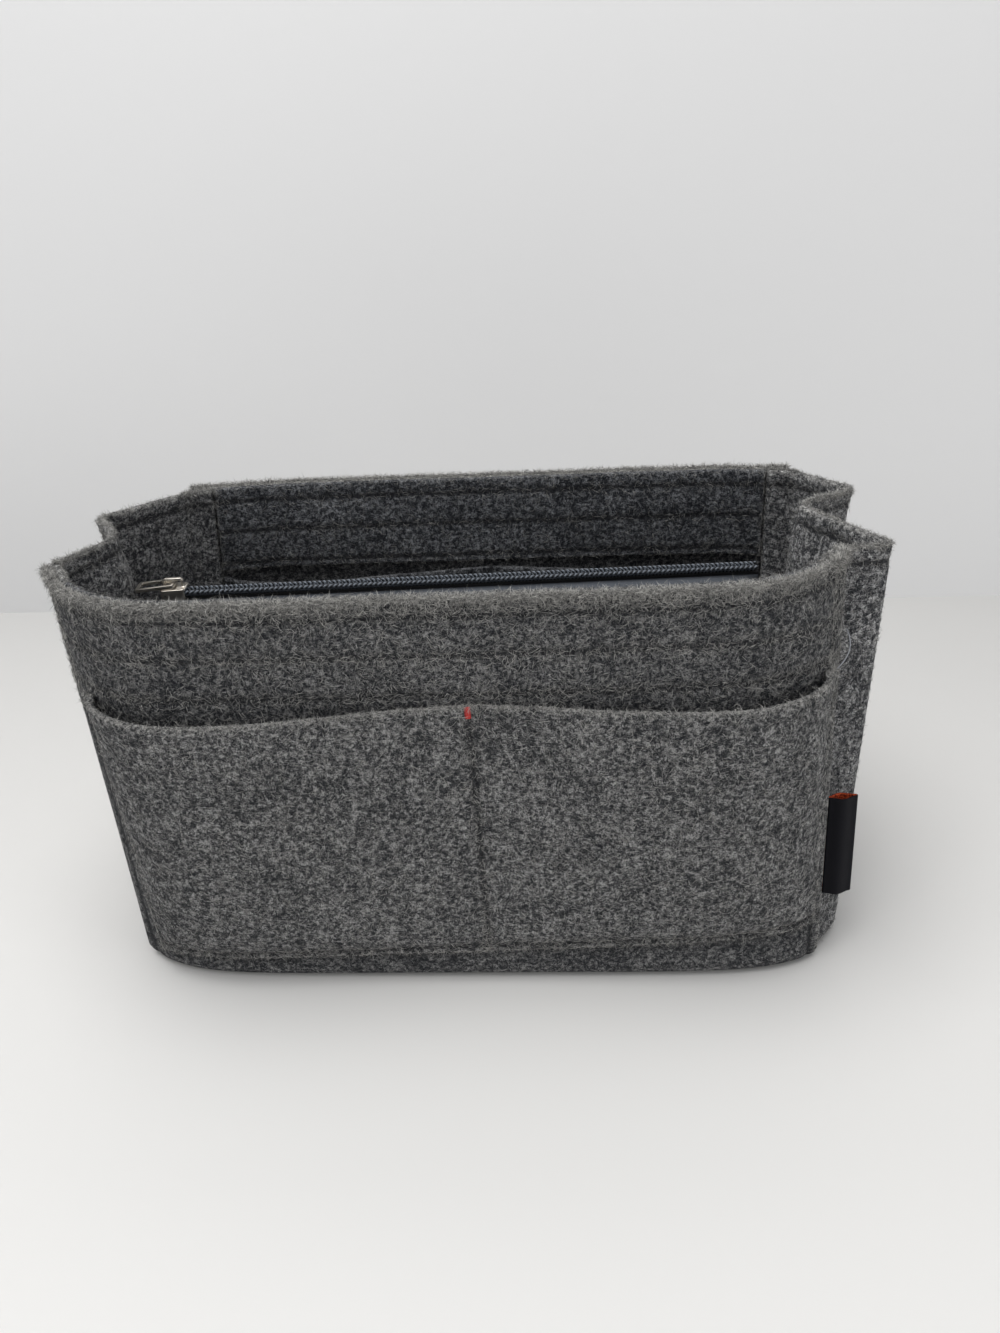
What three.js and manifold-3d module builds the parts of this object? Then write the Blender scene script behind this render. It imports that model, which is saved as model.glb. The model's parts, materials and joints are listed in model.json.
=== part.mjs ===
// A felt organizer insert for a handbag: a soft open tub of grey felt with sewn-on pockets, two end
// gussets that fold inwards, and a zipped pouch that hangs between the folds. Millimetres, +Z up,
// front towards -Y, origin on the floor under the middle of the tub.
import * as THREE from "three";
import Module from "manifold-3d";
import { mergeVertices } from "three/addons/utils/BufferGeometryUtils.js";

const wasm = await Module();
wasm.setup();

// Felt and sewing
const feltThickness = 2.5;
const seatGap = 0.3;

// Tub
const rimHeight = 151;
const footHalfLength = 127.5;
const footHalfDepth = 63.5;
const footRadius = 6;
const cornerPower = 8;
const rimTwist = THREE.MathUtils.degToRad(2.2);
const flangeWidth = 8;
const flangeTurnLength = 3;
const bandHeight = 36;

// Outer and inner slip pockets
const outerFootHeight = 11;
const outerFootRiseHeight = 9;
const outerDropHeight = 35.5;
const outerOpeningDepth = 8;
const outerEndLeftWidth = 11;
const outerEndRightWidth = 5;
const outerDividerSideWidth = 6;
const innerFootHeight = 10;
const innerMouthGap = 3;
const innerOpeningDepth = 9;
const mouthDipDepth = 1;
const dividerHalfWidth = 1.5;

// Gusset folds
const creaseRadius = 4.5;
const crownRadius = 11;
const crownRelaxDepth = 2;
const crownRelaxHeight = 18;

// Hook and loop patches
const patchThickness = 1.2;
const patchDropHeight = 29;
const patchHeight = 56;
const patchFoldGap = 8;
const hookWidth = 6;

// Pouch
const pouchFootHeight = 7;
const pouchDropHeight = 29.5;
const pouchSeamWidth = 4;
const pouchBellyDepth = 8;

// Zip
const chainRiseHeight = 5;
const chainMarginWidth = 7;
const coilHeight = 2.2;
const coilHalfWidth = 2.7;
const coilSpineWidth = 1.7;
const toothTipLength = 0.55;
const toothWidth = 0.9;
const toothPitch = 3;
const tapeThickness = 0.6;
const tapeRootGap = 0.75;
const tapeNeckHeight = 2.4;
const tapeSlopeHeight = 2.6;
const tapeLapHeight = 6;

// Slider and pull
const sliderLength = 9;
const sliderWallThickness = 0.9;
const sliderRunningGap = 0.35;
const sliderSlotHalfWidth = 1.5;
const sliderTaperWidth = 0.5;
const sliderRoundingRadius = 1.6;
const sliderEndDistance = 10.2;
const bridgeWidth = 1.6;
const bridgeWallThickness = 0.9;
const bridgeHeadHeight = 2.4;
const bridgeHalfLength = 3.7;
const pullLength = 14;
const pullWidth = 7.4;
const pullWireWidth = 1.3;
const pullThickness = 1.2;
const pullRest = THREE.MathUtils.degToRad(5);

// Side label
const labelHeight = 37.5;
const labelFootHeight = 27;
const labelReachLength = 10.5;
const labelThickness = 0.5;
const labelBellyDepth = 1.4;
const labelAngle = THREE.MathUtils.degToRad(8);

// Places in plan at the floor and at the rim, as shares of the half length and half depth
const cornerShares = {
  frontLeft: [[-1.005, -0.86], [-1.112, -0.475]],
  frontRight: [[0.96, -0.92], [0.935, -0.6]],
  backRight: [[1, 0.82], [0.965, 0.82]],
  backLeft: [[-1, 0.82], [-0.89, 0.8]],
};
const middleShares = { front: [-1.075, -1.015], back: [1, 0.89] };
const creaseShares = {
  leftFront: [[-1.043, -0.66], [-1.105, -0.37]],
  leftBack: [[-1.043, 0.66], [-1.12, 0.31]],
  rightFront: [[1.043, -0.68], [1.078, -0.51]],
  rightBack: [[1.043, 0.66], [1.118, 0.37]],
};
const crownShares = {
  left: [[-1.043, 0], [-0.985, -0.016]],
  right: [[1.043, 0], [0.889, 0.16]],
};

// How the sheets curve
const pouchPower = 8;
const pouchRisePower = 0.6;
const pouchRowPower = 2;
const spreadPower = 0.5;
const risePower = 0.45;
const roundShare = 0.46;
const straightShare = 0.5;
const spareShare = 0.2;
const probeShare = 1e-3;
const weldShare = 1e-4;

// How finely the curved pieces are divided
const faceHalfSteps = 9;
const bendSteps = 4;
const wallSteps = 5;
const kneeSteps = 2;
const pocketSteps = 5;
const turnSteps = 2;
const creaseSteps = 4;
const crownSteps = 6;
const foldSteps = 3;
const shoulderSteps = 2;
const patchSteps = 2;
const pouchSteps = 4;
const cornerSteps = 4;
const leafSteps = 5;

// Heights that follow the rim
const innerMouth = rimHeight - bandHeight - innerMouthGap;
const patchTop = rimHeight - patchDropHeight;
const patchBottom = patchTop - patchHeight;
const crownFootHeight = patchBottom - patchFoldGap;
const pouchTop = rimHeight - pouchDropHeight;
const chainFloor = pouchTop + chainRiseHeight;
const outerHighFootHeight = outerFootHeight + outerFootRiseHeight;
const kneeHeight = Math.max(footRadius, outerHighFootHeight, innerFootHeight) + feltThickness;
const { lerp, smoothstep } = THREE.MathUtils;
const { abs, cos, sin, sqrt, min, max, sign, PI } = Math;
const layerStep = feltThickness + seatGap;

const felt = (color) => new THREE.MeshStandardMaterial({ color, roughness: 0.95, metalness: 0 });
const bodyFelt = felt(0x6a6b6e);
const pocketFelt = felt(0x74757a);
const bandFelt = felt(0x56585d);
const tapeCloth = new THREE.MeshStandardMaterial({ color: 0x4b535f, roughness: 0.85, metalness: 0 });
const coilNylon = new THREE.MeshStandardMaterial({ color: 0x566273, roughness: 0.45, metalness: 0 });
const nickel = new THREE.MeshStandardMaterial({ color: 0xb9b4aa, roughness: 0.25, metalness: 1 });
const hookNylon = new THREE.MeshStandardMaterial({ color: 0x3c3e42, roughness: 0.9, metalness: 0 });
const labelCloth = new THREE.MeshStandardMaterial({ color: 0x101013, roughness: 0.7, metalness: 0 });

const organizer = new THREE.Group();
const pouch = new THREE.Group();
organizer.add(pouch);

function addPiece(group, name, geometry, material) {
  const mesh = new THREE.Mesh(geometry, material);
  mesh.name = name;
  group.add(mesh);
  return mesh;
}

function range(count) {
  return Array.from({ length: count + 1 }, (_, index) => index / count);
}

// A closed solid between two grids of points, turned inside out if its volume comes out negative.
function gridSolid(outer, inner) {
  const columns = outer.length;
  const rows = outer[0].length;
  const points = [...outer.flat(), ...inner.flat()];
  const at = (layer, i, j) => layer * columns * rows + i * rows + j;
  const index = [];
  const quad = (a, b, c, d) => index.push(a, b, c, a, c, d);
  for (let i = 0; i + 1 < columns; i += 1) {
    for (let j = 0; j + 1 < rows; j += 1) {
      quad(at(0, i, j), at(0, i + 1, j), at(0, i + 1, j + 1), at(0, i, j + 1));
      quad(at(1, i, j), at(1, i, j + 1), at(1, i + 1, j + 1), at(1, i + 1, j));
    }
    quad(at(0, i, 0), at(1, i, 0), at(1, i + 1, 0), at(0, i + 1, 0));
    quad(at(0, i, rows - 1), at(0, i + 1, rows - 1), at(1, i + 1, rows - 1), at(1, i, rows - 1));
  }
  for (let j = 0; j + 1 < rows; j += 1) {
    quad(at(0, 0, j), at(0, 0, j + 1), at(1, 0, j + 1), at(1, 0, j));
    quad(at(0, columns - 1, j), at(1, columns - 1, j), at(1, columns - 1, j + 1), at(0, columns - 1, j + 1));
  }
  let volume = 0;
  for (let k = 0; k < index.length; k += 3) {
    const [a, b, c] = [points[index[k]], points[index[k + 1]], points[index[k + 2]]];
    volume += a.dot(b.clone().cross(c));
  }
  const geometry = new THREE.BufferGeometry().setFromPoints(points);
  geometry.setIndex(volume > 0 ? index : index.reverse());
  geometry.computeVertexNormals();
  return geometry;
}

// Both faces of a sheet: its middle points moved half a thickness along the grid's own normals.
function sheetSolid(grid, thickness, offset = 0) {
  const shifted = (distance) => grid.map((column, i) => column.map((point, j) => {
    const along = grid[min(i + 1, grid.length - 1)][j].clone().sub(grid[max(i - 1, 0)][j]);
    const up = column[min(j + 1, column.length - 1)].clone().sub(column[max(j - 1, 0)]);
    return point.clone().addScaledVector(along.cross(up).normalize(), distance);
  }));
  return gridSolid(shifted(offset + thickness / 2), shifted(offset - thickness / 2));
}

function planPoint([low, high], rise) {
  return new THREE.Vector2(
    lerp(low[0], high[0], rise) * footHalfLength,
    lerp(low[1], high[1], rise) * footHalfDepth,
  );
}

// The front or back face in plan: flat in the middle, turning towards its corner seams by a power.
function facePlan(face, across, height) {
  const rise = height / rimHeight;
  const left = planPoint(cornerShares[`${face}Left`], rise);
  const right = planPoint(cornerShares[`${face}Right`], rise);
  const middle = lerp(...middleShares[face], rise) * footHalfDepth;
  const end = across < 0 ? left : right;
  return new THREE.Vector2(
    lerp(left.x, right.x, (across + 1) / 2),
    middle + (end.y - middle) * min(abs(across), 1) ** cornerPower,
  );
}

function faceTangent(face, across, height) {
  const before = facePlan(face, max(across - probeShare, -1), height);
  return facePlan(face, min(across + probeShare, 1), height).sub(before).normalize();
}

function faceNormal(face, across, height) {
  const tangent = faceTangent(face, across, height);
  const out = face === "front" ? 1 : -1;
  return new THREE.Vector2(tangent.y * out, -tangent.x * out);
}

// Near the floor every layer follows one rounded bend; a deeper layer takes a smaller radius.
function footBend(height, depth) {
  if (height >= footRadius) return [depth, height];
  const lean = 1 - height / footRadius;
  const radius = footRadius - depth;
  return [footRadius - radius * sqrt(1 - lean * lean), footRadius - radius * lean];
}

// The rim is twisted a little against the foot.
function twisted(plan, height, lift) {
  const angle = rimTwist * height / rimHeight;
  const turned = plan.clone().rotateAround(new THREE.Vector2(), angle);
  return new THREE.Vector3(turned.x, turned.y, lift);
}

function facePoint(face, across, height, depth) {
  const [inset, lift] = footBend(height, depth);
  const plan = facePlan(face, across, height);
  return twisted(plan.addScaledVector(faceNormal(face, across, height), -inset), height, lift);
}

// One felt layer on a face, from its outer to its inner depth, over its own width and heights.
function faceLayer(face, acrossList, heightsAt, depthAt) {
  const grid = (extra) => acrossList.map((across) => heightsAt(across).map(
    (height) => facePoint(face, across, height, depthAt(across, height) + extra),
  ));
  return gridSolid(grid(0), grid(feltThickness));
}

// Columns across a face, close together at its ends; one pair lies on the edges of the flanges.
const flangeShare = (flangeWidth + seatGap) / footHalfLength;
const flangeEdge = 1 - flangeShare;
const faceList = Array.from({ length: 2 * faceHalfSteps + 1 }, (_, index) => {
  const across = sin((index / faceHalfSteps - 1) * PI / 2);
  const isEdge = abs(abs(across) - flangeEdge) < flangeShare * spareShare;
  return isEdge ? sign(across) * flangeEdge : across;
});
const betweenFlanges = faceList.filter((across) => abs(across) <= flangeEdge);
const onFlange = faceList.filter((across) => across > flangeEdge && across < 1);
const flangeList = [...onFlange.reverse(), 1 - flangeWidth / footHalfLength];
const bendHeights = range(bendSteps).map((share) => footRadius * (1 - cos(share * PI / 2)));
const wallHeights = range(wallSteps).slice(1).map((share) => lerp(footRadius, rimHeight, share));

// Front and back walls, each bent under at the foot to meet the bottom
for (const face of ["front", "back"]) {
  const walls = faceLayer(face, faceList, () => [...bendHeights, ...wallHeights], () => 0);
  addPiece(organizer, `${face}_panel`, walls, bodyFelt);
}

// Facing bands inside the rim, between the gusset flanges
for (const face of ["front", "back"]) {
  const heights = [rimHeight - bandHeight, rimHeight - bandHeight / 2, rimHeight];
  const band = faceLayer(face, betweenFlanges, () => heights, () => layerStep);
  addPiece(organizer, `${face}_band`, band, bandFelt);
}

// How far a pocket half stands open: nothing at the divider and the pocket's end, most near the end.
function pocketSpread(across, { list, divider }) {
  const end = across < divider ? list[0] : list[list.length - 1];
  const seamShare = dividerHalfWidth / footHalfLength;
  const share = max((abs(across - divider) - seamShare) / (abs(end - divider) - seamShare), 0);
  return max(sin(PI * min(share * share, 1)), 0);
}

// A slip pocket: it follows the bend at its foot, then opens towards its dipped mouth.
function pocketLayer(face, columns, footAt, mouthAt, opening, isOuter) {
  const mouth = (across) => mouthAt(across) - mouthDipDepth * pocketSpread(across, columns);
  const heights = (across) => [
    ...range(kneeSteps).slice(0, -1).map((share) => lerp(footAt(across), kneeHeight, share)),
    ...range(pocketSteps).map((share) => lerp(kneeHeight, mouth(across), share)),
  ];
  const gapAt = (across, height) => {
    const share = max((height - footAt(across)) / (mouth(across) - footAt(across)), 0);
    return opening * pocketSpread(across, columns) ** spreadPower * min(share, 1) ** risePower;
  };
  const depth = (across, height) => (
    isOuter ? -layerStep - gapAt(across, height) : layerStep + gapAt(across, height)
  );
  return faceLayer(face, columns.list, heights, depth);
}

const skewed = (left, right) => (across) => lerp(left, right, (across + 1) / 2);
const level = (height) => () => height;
const outerEnds = [outerEndLeftWidth / footHalfLength - 1, 1 - outerEndRightWidth / footHalfLength];
const outerSpare = flangeShare * spareShare;
const outerInside = faceList.filter((across) => (
  across > outerEnds[0] + outerSpare && across < outerEnds[1] - outerSpare
));
const outerDivider = outerDividerSideWidth / footHalfLength;
const moved = outerInside.map((across) => (abs(across) < outerSpare ? outerDivider : across));
const outerColumns = { list: [outerEnds[0], ...moved, outerEnds[1]], divider: outerDivider };
const innerColumns = { list: betweenFlanges, divider: 0 };
for (const face of ["front", "back"]) {
  const footAt = skewed(outerFootHeight, outerHighFootHeight);
  const mouthAt = level(rimHeight - outerDropHeight);
  const outer = pocketLayer(face, outerColumns, footAt, mouthAt, outerOpeningDepth, true);
  addPiece(organizer, `${face}_outer_pocket`, outer, pocketFelt);
  const innerEdges = [level(innerFootHeight), level(innerMouth)];
  const inner = pocketLayer(face, innerColumns, ...innerEdges, innerOpeningDepth, false);
  addPiece(organizer, `${face}_inner_pocket`, inner, bandFelt);
}

// A polyline with its inner corners rounded by quadratic curves, each with its own number of points.
function roundedPath(vertices) {
  return vertices.flatMap(({ point, radius, steps }, k) => {
    if (!steps) return [point];
    const before = vertices[k - 1].point.clone().sub(point);
    const after = vertices[k + 1].point.clone().sub(point);
    const cut = min(radius, roundShare * before.length(), roundShare * after.length());
    const start = point.clone().addScaledVector(before.normalize(), cut);
    const end = point.clone().addScaledVector(after.normalize(), cut);
    const curve = new THREE.QuadraticBezierCurve3(start, point, end);
    return curve.getPoints(steps);
  });
}

const midDepth = layerStep + feltThickness / 2;

// The crown of the inward fold: at the floor it lies on the end wall, and it relaxes at the rim.
function crownPlan(side, height) {
  const fold = smoothstep(height, 0, crownFootHeight);
  const plan = planPoint(crownShares[side], fold);
  const relax = smoothstep(height, rimHeight - crownRelaxHeight, rimHeight);
  plan.x += sign(plan.x) * crownRelaxDepth * relax;
  return plan;
}

// The gusset's middle line at one height, from the front flange over crease, crown and crease to the
// back flange. Every vertex is set in by the rounded foot along its own outward normal.
function gussetPath(side, height) {
  const end = side === "right" ? 1 : -1;
  const rise = height / rimHeight;
  const flange = (face) => flangeList.map((across) => (
    { point: facePoint(face, end * across, height, midDepth) }
  ));
  const turn = (face) => {
    const tangent = faceTangent(face, end, height).multiplyScalar(end * flangeTurnLength);
    const [inset, lift] = footBend(height, midDepth);
    const plan = facePlan(face, end, height).add(tangent);
    return twisted(plan.addScaledVector(faceNormal(face, end, height), -inset), height, lift);
  };
  const frontCrease = planPoint(creaseShares[`${side}Front`], rise);
  const backCrease = planPoint(creaseShares[`${side}Back`], rise);
  const crown = crownPlan(side, height);
  const frontEnd = facePlan("front", end, height);
  const backEnd = facePlan("back", end, height);
  const wall = (plan, before, after) => {
    const along = after.clone().sub(before).normalize();
    const normal = new THREE.Vector2(along.y * end, -along.x * end);
    const [inset, lift] = footBend(height, feltThickness / 2);
    return twisted(plan.clone().addScaledVector(normal, -inset), height, lift);
  };
  return roundedPath([
    ...flange("front").reverse(),
    { point: turn("front"), radius: feltThickness, steps: turnSteps },
    { point: wall(frontCrease, frontEnd, crown), radius: creaseRadius, steps: creaseSteps },
    { point: wall(crown, frontCrease, backCrease), radius: crownRadius, steps: crownSteps },
    { point: wall(backCrease, crown, backEnd), radius: creaseRadius, steps: creaseSteps },
    { point: turn("back"), radius: feltThickness, steps: turnSteps },
    ...flange("back"),
  ]);
}

const columnsOf = (rows) => rows[0].map((_, i) => rows.map((row) => row[i]));
const shoulder = rimHeight - crownRelaxHeight;
const gussetHeights = [
  ...bendHeights,
  ...range(foldSteps).slice(1).map((share) => lerp(footRadius, crownFootHeight, share)),
  ...range(shoulderSteps).slice(1).map((share) => lerp(crownFootHeight, shoulder, share)),
  ...range(shoulderSteps).slice(1).map((share) => lerp(shoulder, rimHeight, share)),
];

// End gussets, and the loop patch sewn round the crown of each fold
const creaseStart = flangeList.length + turnSteps + 1;
const crownStart = creaseStart + creaseSteps + 1;
const reach = {};
for (const side of ["left", "right"]) {
  const inward = side === "right" ? -1 : 1;
  const grid = columnsOf(gussetHeights.map((height) => gussetPath(side, height)));
  addPiece(organizer, `${side}_gusset`, sheetSolid(grid, feltThickness), bodyFelt);
  const patchHeights = range(patchSteps).map((share) => lerp(patchBottom, patchTop, share));
  const crowns = columnsOf(patchHeights.map((height) => (
    gussetPath(side, height).slice(crownStart, crownStart + crownSteps + 1)
  )));
  const offset = inward * (feltThickness / 2 + seatGap + patchThickness / 2);
  const loops = sheetSolid(crowns, patchThickness, offset);
  const patch = addPiece(organizer, `${side}_loop_patch`, loops, hookNylon);
  reach[side] = { crown: crowns[crownSteps / 2][patchSteps / 2], patch };
}

// Bottom, inside the four rounded foot bends
const footInset = footRadius + seatGap;
function bottomOutline() {
  const turning = faceList.filter((across) => abs(across) > straightShare);
  const faceEdge = (face) => turning.map((across) => (
    facePlan(face, across, 0).addScaledVector(faceNormal(face, across, 0), -footInset)
  ));
  const sideEdge = (side) => {
    const way = side === "right" ? 1 : -1;
    const path = gussetPath(side, 0);
    const isCrease = (index) => index >= creaseStart && index < crownStart;
    return path.flatMap((point, k) => {
      if (!isCrease(k) && !isCrease(path.length - 1 - k)) return [];
      const along = path[k + 1].clone().sub(path[k - 1]).normalize().multiplyScalar(way * seatGap);
      return [new THREE.Vector2(point.x - along.y, point.y + along.x)];
    });
  };
  return [
    ...faceEdge("front"), ...sideEdge("right"),
    ...faceEdge("back").reverse(), ...sideEdge("left").reverse(),
  ];
}
const bottom = new THREE.ExtrudeGeometry(
  new THREE.Shape(bottomOutline()), { depth: feltThickness, bevelEnabled: false },
);
addPiece(organizer, "bottom_panel", bottom, bodyFelt);

// The pouch lies on the line between the two crowns, a seat gap clear of both loop patches.
const axis = reach.right.crown.clone().sub(reach.left.crown).setZ(0).normalize();
function patchReach(side, pick) {
  const places = reach[side].patch.geometry.getAttribute("position");
  const along = Array.from({ length: places.count }, (_, k) => (
    new THREE.Vector3().fromBufferAttribute(places, k).dot(axis)
  ));
  return pick(...along);
}
const leftReach = patchReach("left", max);
const rightReach = patchReach("right", min);
const hookHalf = (rightReach - leftReach) / 2 - seatGap;
const pouchHalf = hookHalf - patchThickness - seatGap;
const seamMiddle = reach.left.crown.clone().add(reach.right.crown).multiplyScalar(1 / 2).setZ(0);
const shift = (leftReach + rightReach) / 2 - seamMiddle.dot(axis);
pouch.position.copy(seamMiddle.addScaledVector(axis, shift));
pouch.rotation.z = Math.atan2(axis.y, axis.x);

const pouchSeamTop = pouchFootHeight + pouchSeamWidth;

// Half the pouch's thickness, to the middle of its felt: sewn flat at its ends and foot, fuller above.
function pouchHalfDepth(x, height) {
  const share = min(abs(x) / (pouchHalf - pouchSeamWidth), 1);
  const rise = max((height - pouchSeamTop) / (pouchTop - pouchSeamTop), 0);
  return layerStep / 2 + pouchBellyDepth * (1 - share ** pouchPower) * rise ** pouchRisePower;
}

const pouchList = faceList.map((share) => share * (pouchHalf - pouchSeamWidth));
const panelList = [-pouchHalf, ...pouchList, pouchHalf];
const panelRows = range(pouchSteps).map((share) => share ** pouchRowPower);
const panelHeights = [pouchFootHeight, ...panelRows.map((share) => lerp(pouchSeamTop, pouchTop, share))];
const chainHalf = pouchHalf - chainMarginWidth;
const tapeList = [-chainHalf, ...pouchList.filter((x) => abs(x) < chainHalf - seatGap), chainHalf];

for (const [face, out] of [["front", -1], ["back", 1]]) {
  const grid = (depth) => panelList.map((x) => panelHeights.map((height) => (
    new THREE.Vector3(x, out * (pouchHalfDepth(x, height) + depth), height)
  )));
  const panel = gridSolid(grid(feltThickness / 2), grid(-feltThickness / 2));
  addPiece(pouch, `pouch_${face}_panel`, panel, pocketFelt);

  const neckFoot = chainFloor - tapeNeckHeight;
  const tapeGrid = tapeList.map((x) => {
    const clear = feltThickness / 2 + seatGap + tapeThickness / 2;
    const inside = max(pouchHalfDepth(x, pouchTop - tapeLapHeight) - clear, tapeRootGap);
    return [
      [tapeRootGap, chainFloor - seatGap], [tapeRootGap, neckFoot],
      [inside, neckFoot - tapeSlopeHeight], [inside, pouchTop - tapeLapHeight],
    ].map(([y, z]) => new THREE.Vector3(x, out * y, z));
  });
  addPiece(pouch, `zipper_tape_${face}`, sheetSolid(tapeGrid, tapeThickness), tapeCloth);
}

// One half of the chain: a spine with teeth that stand in the gaps of the other half
function coilComb(out, lead) {
  const rootLine = out * (coilHalfWidth - coilSpineWidth);
  const tipLine = -out * toothTipLength;
  const count = Math.floor((2 * chainHalf - toothPitch) / toothPitch);
  const points = [[-chainHalf, out * coilHalfWidth], [-chainHalf, rootLine]];
  for (let k = 0; k < count; k += 1) {
    const x = lead + (k - (count - 1) / 2) * toothPitch;
    const half = toothWidth / 2;
    points.push([x - half, rootLine], [x - half, tipLine], [x + half, tipLine], [x + half, rootLine]);
  }
  points.push([chainHalf, rootLine], [chainHalf, out * coilHalfWidth]);
  const shape = new THREE.Shape(points.map(([x, y]) => new THREE.Vector2(x, y)));
  const geometry = new THREE.ExtrudeGeometry(shape, { depth: coilHeight, bevelEnabled: false });
  return geometry.translate(0, 0, chainFloor);
}
addPiece(pouch, "zipper_coil_front", coilComb(-1, -toothPitch / 4), coilNylon);
addPiece(pouch, "zipper_coil_back", coilComb(1, toothPitch / 4), coilNylon);

// Hook patches bound over the two end seams of the pouch
for (const [side, end] of [["left", -1], ["right", 1]]) {
  const hook = new THREE.BoxGeometry(patchThickness, hookWidth, patchTop - patchBottom);
  hook.translate(end * (hookHalf - patchThickness / 2), 0, (patchTop + patchBottom) / 2);
  addPiece(pouch, `${side}_hook_patch`, hook, hookNylon);
}

// Solids for the slider are joined and cut as manifolds, then turned back into plain geometry
function toManifold(geometry) {
  const bare = geometry.clone();
  bare.deleteAttribute("normal");
  bare.deleteAttribute("uv");
  const merged = mergeVertices(bare, weldShare);
  return new wasm.Manifold(new wasm.Mesh({
    numProp: 3,
    vertProperties: new Float32Array(merged.getAttribute("position").array),
    triVerts: new Uint32Array(merged.getIndex().array),
  }));
}

function fromManifold(solid) {
  const mesh = solid.getMesh();
  const geometry = new THREE.BufferGeometry();
  geometry.setAttribute("position", new THREE.BufferAttribute(new Float32Array(mesh.vertProperties), 3));
  geometry.setIndex(new THREE.BufferAttribute(new Uint32Array(mesh.triVerts), 1));
  geometry.computeVertexNormals();
  return geometry;
}

// A profile drawn across the slider (y, z) or along it (x, z), given its thickness on the third axis
function extruded(shape, depth, right, up, out) {
  const geometry = new THREE.ExtrudeGeometry(shape, { depth, bevelEnabled: false });
  geometry.translate(0, 0, -depth / 2);
  return geometry.applyMatrix4(new THREE.Matrix4().makeBasis(right, up, out));
}
const X = new THREE.Vector3(1, 0, 0);
const Y = new THREE.Vector3(0, 1, 0);
const Z = new THREE.Vector3(0, 0, 1);

function roundedOutline(corners, radius) {
  const vertices = corners.map(([x, y]) => (
    { point: new THREE.Vector3(x, y, 0), radius, steps: cornerSteps }
  ));
  const looped = [vertices.at(-1), ...vertices, vertices[0]];
  const points = looped.slice(1, -1).flatMap((vertex, k) => (
    roundedPath([{ point: looped[k].point }, vertex, { point: looped[k + 2].point }]).slice(1, -1)
  ));
  return new THREE.Shape(points.map(({ x, y }) => new THREE.Vector2(x, y)));
}

// Slider: a channel that runs on the chain, its slot open below for the tapes, with a bridge on top
const channelHalf = coilHalfWidth + sliderRunningGap;
const sliderHalf = channelHalf + sliderWallThickness + sliderTaperWidth / 2;
const channelFloor = chainFloor - sliderRunningGap;
const channelRoof = chainFloor + coilHeight + sliderRunningGap;
const plateTop = channelRoof + sliderWallThickness;
const bridgeTop = plateTop + bridgeHeadHeight + bridgeWallThickness;
const sliderX = -(pouchHalf - sliderEndDistance);

function sliderGeometry() {
  const lip = channelFloor - sliderWallThickness;
  const half = [
    [sliderSlotHalfWidth, channelFloor], [channelHalf, channelFloor], [channelHalf, channelRoof],
  ];
  const mirrored = half.map(([y, z]) => [-y, z]).reverse();
  const outline = [
    [-sliderSlotHalfWidth, lip], [-sliderHalf, lip], [-sliderHalf, plateTop],
    [sliderHalf, plateTop], [sliderHalf, lip], [sliderSlotHalfWidth, lip], ...half, ...mirrored,
  ];
  const channelShape = new THREE.Shape(outline.map(([y, z]) => new THREE.Vector2(y, z)));
  const channel = toManifold(extruded(channelShape, sliderLength, Y, Z, X));
  const tail = sliderHalf - sliderTaperWidth;
  const shield = roundedOutline([
    [-sliderLength / 2, -sliderHalf], [sliderLength / 2, -tail],
    [sliderLength / 2, tail], [-sliderLength / 2, sliderHalf],
  ], sliderRoundingRadius);
  const prism = toManifold(extruded(shield, 2 * bridgeTop, X, Y, Z));
  const legs = bridgeHalfLength - bridgeWallThickness;
  const sunk = plateTop - sliderWallThickness / 2;
  const arch = new THREE.Shape([
    [-bridgeHalfLength, sunk], [-bridgeHalfLength, bridgeTop - bridgeWallThickness],
    [-legs, bridgeTop], [legs, bridgeTop],
    [bridgeHalfLength, bridgeTop - bridgeWallThickness], [bridgeHalfLength, sunk],
    [legs, sunk], [legs, plateTop + bridgeHeadHeight], [-legs, plateTop + bridgeHeadHeight], [-legs, sunk],
  ].map(([x, z]) => new THREE.Vector2(x, z)));
  const bridge = toManifold(extruded(arch, bridgeWidth, X, Z, Y.clone().negate()));
  return fromManifold(channel.intersect(prism).add(bridge)).translate(sliderX, 0, 0);
}
addPiece(pouch, "zipper_slider", sliderGeometry(), nickel);

// Pull: a flat open frame whose end bar lies under the bridge and is its hinge
const hingeHeight = plateTop + bridgeHeadHeight / 2;
function pullGeometry() {
  const ring = (inset) => {
    const near = pullWireWidth / 2 - inset;
    const far = pullWireWidth / 2 - pullLength + inset;
    const half = pullWidth / 2 - inset;
    const corners = [[far, -half], [near, -half], [near, half], [far, half]];
    return roundedOutline(corners, pullWireWidth - inset / 2);
  };
  const frame = ring(0);
  frame.holes.push(ring(pullWireWidth));
  return extruded(frame, pullThickness, X, Y, Z);
}
const pull = addPiece(pouch, "slider_pull", pullGeometry(), nickel);
pull.position.set(sliderX, 0, hingeHeight);
pull.rotation.y = -pullRest;

// Side label: a folded ribbon that stands out of the right front seam
function labelGrid() {
  const step = (labelThickness + seatGap) / 2;
  const belly = (share) => labelBellyDepth * sin(PI * share) ** 2 * (1 - share / 2);
  const leaf = (share) => [share * labelReachLength, step + belly(share)];
  const shares = range(leafSteps).slice(0, -1);
  const outline = [
    ...shares.map(leaf).map(([x, y]) => [x, -y]),
    [labelReachLength, -step / 2], [labelReachLength, step / 2],
    ...shares.map(leaf).reverse(),
  ];
  return outline.map(([x, y]) => range(patchSteps).map((share) => {
    const height = lerp(labelFootHeight, labelFootHeight + labelHeight, share);
    const root = facePoint("front", 1, height, feltThickness / 2);
    const turn = new THREE.Vector3(x + seatGap * 2, y, 0).applyAxisAngle(Z, labelAngle);
    return root.add(turn);
  }));
}
addPiece(organizer, "side_label", sheetSolid(labelGrid(), labelThickness), labelCloth);

export default organizer;
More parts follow.
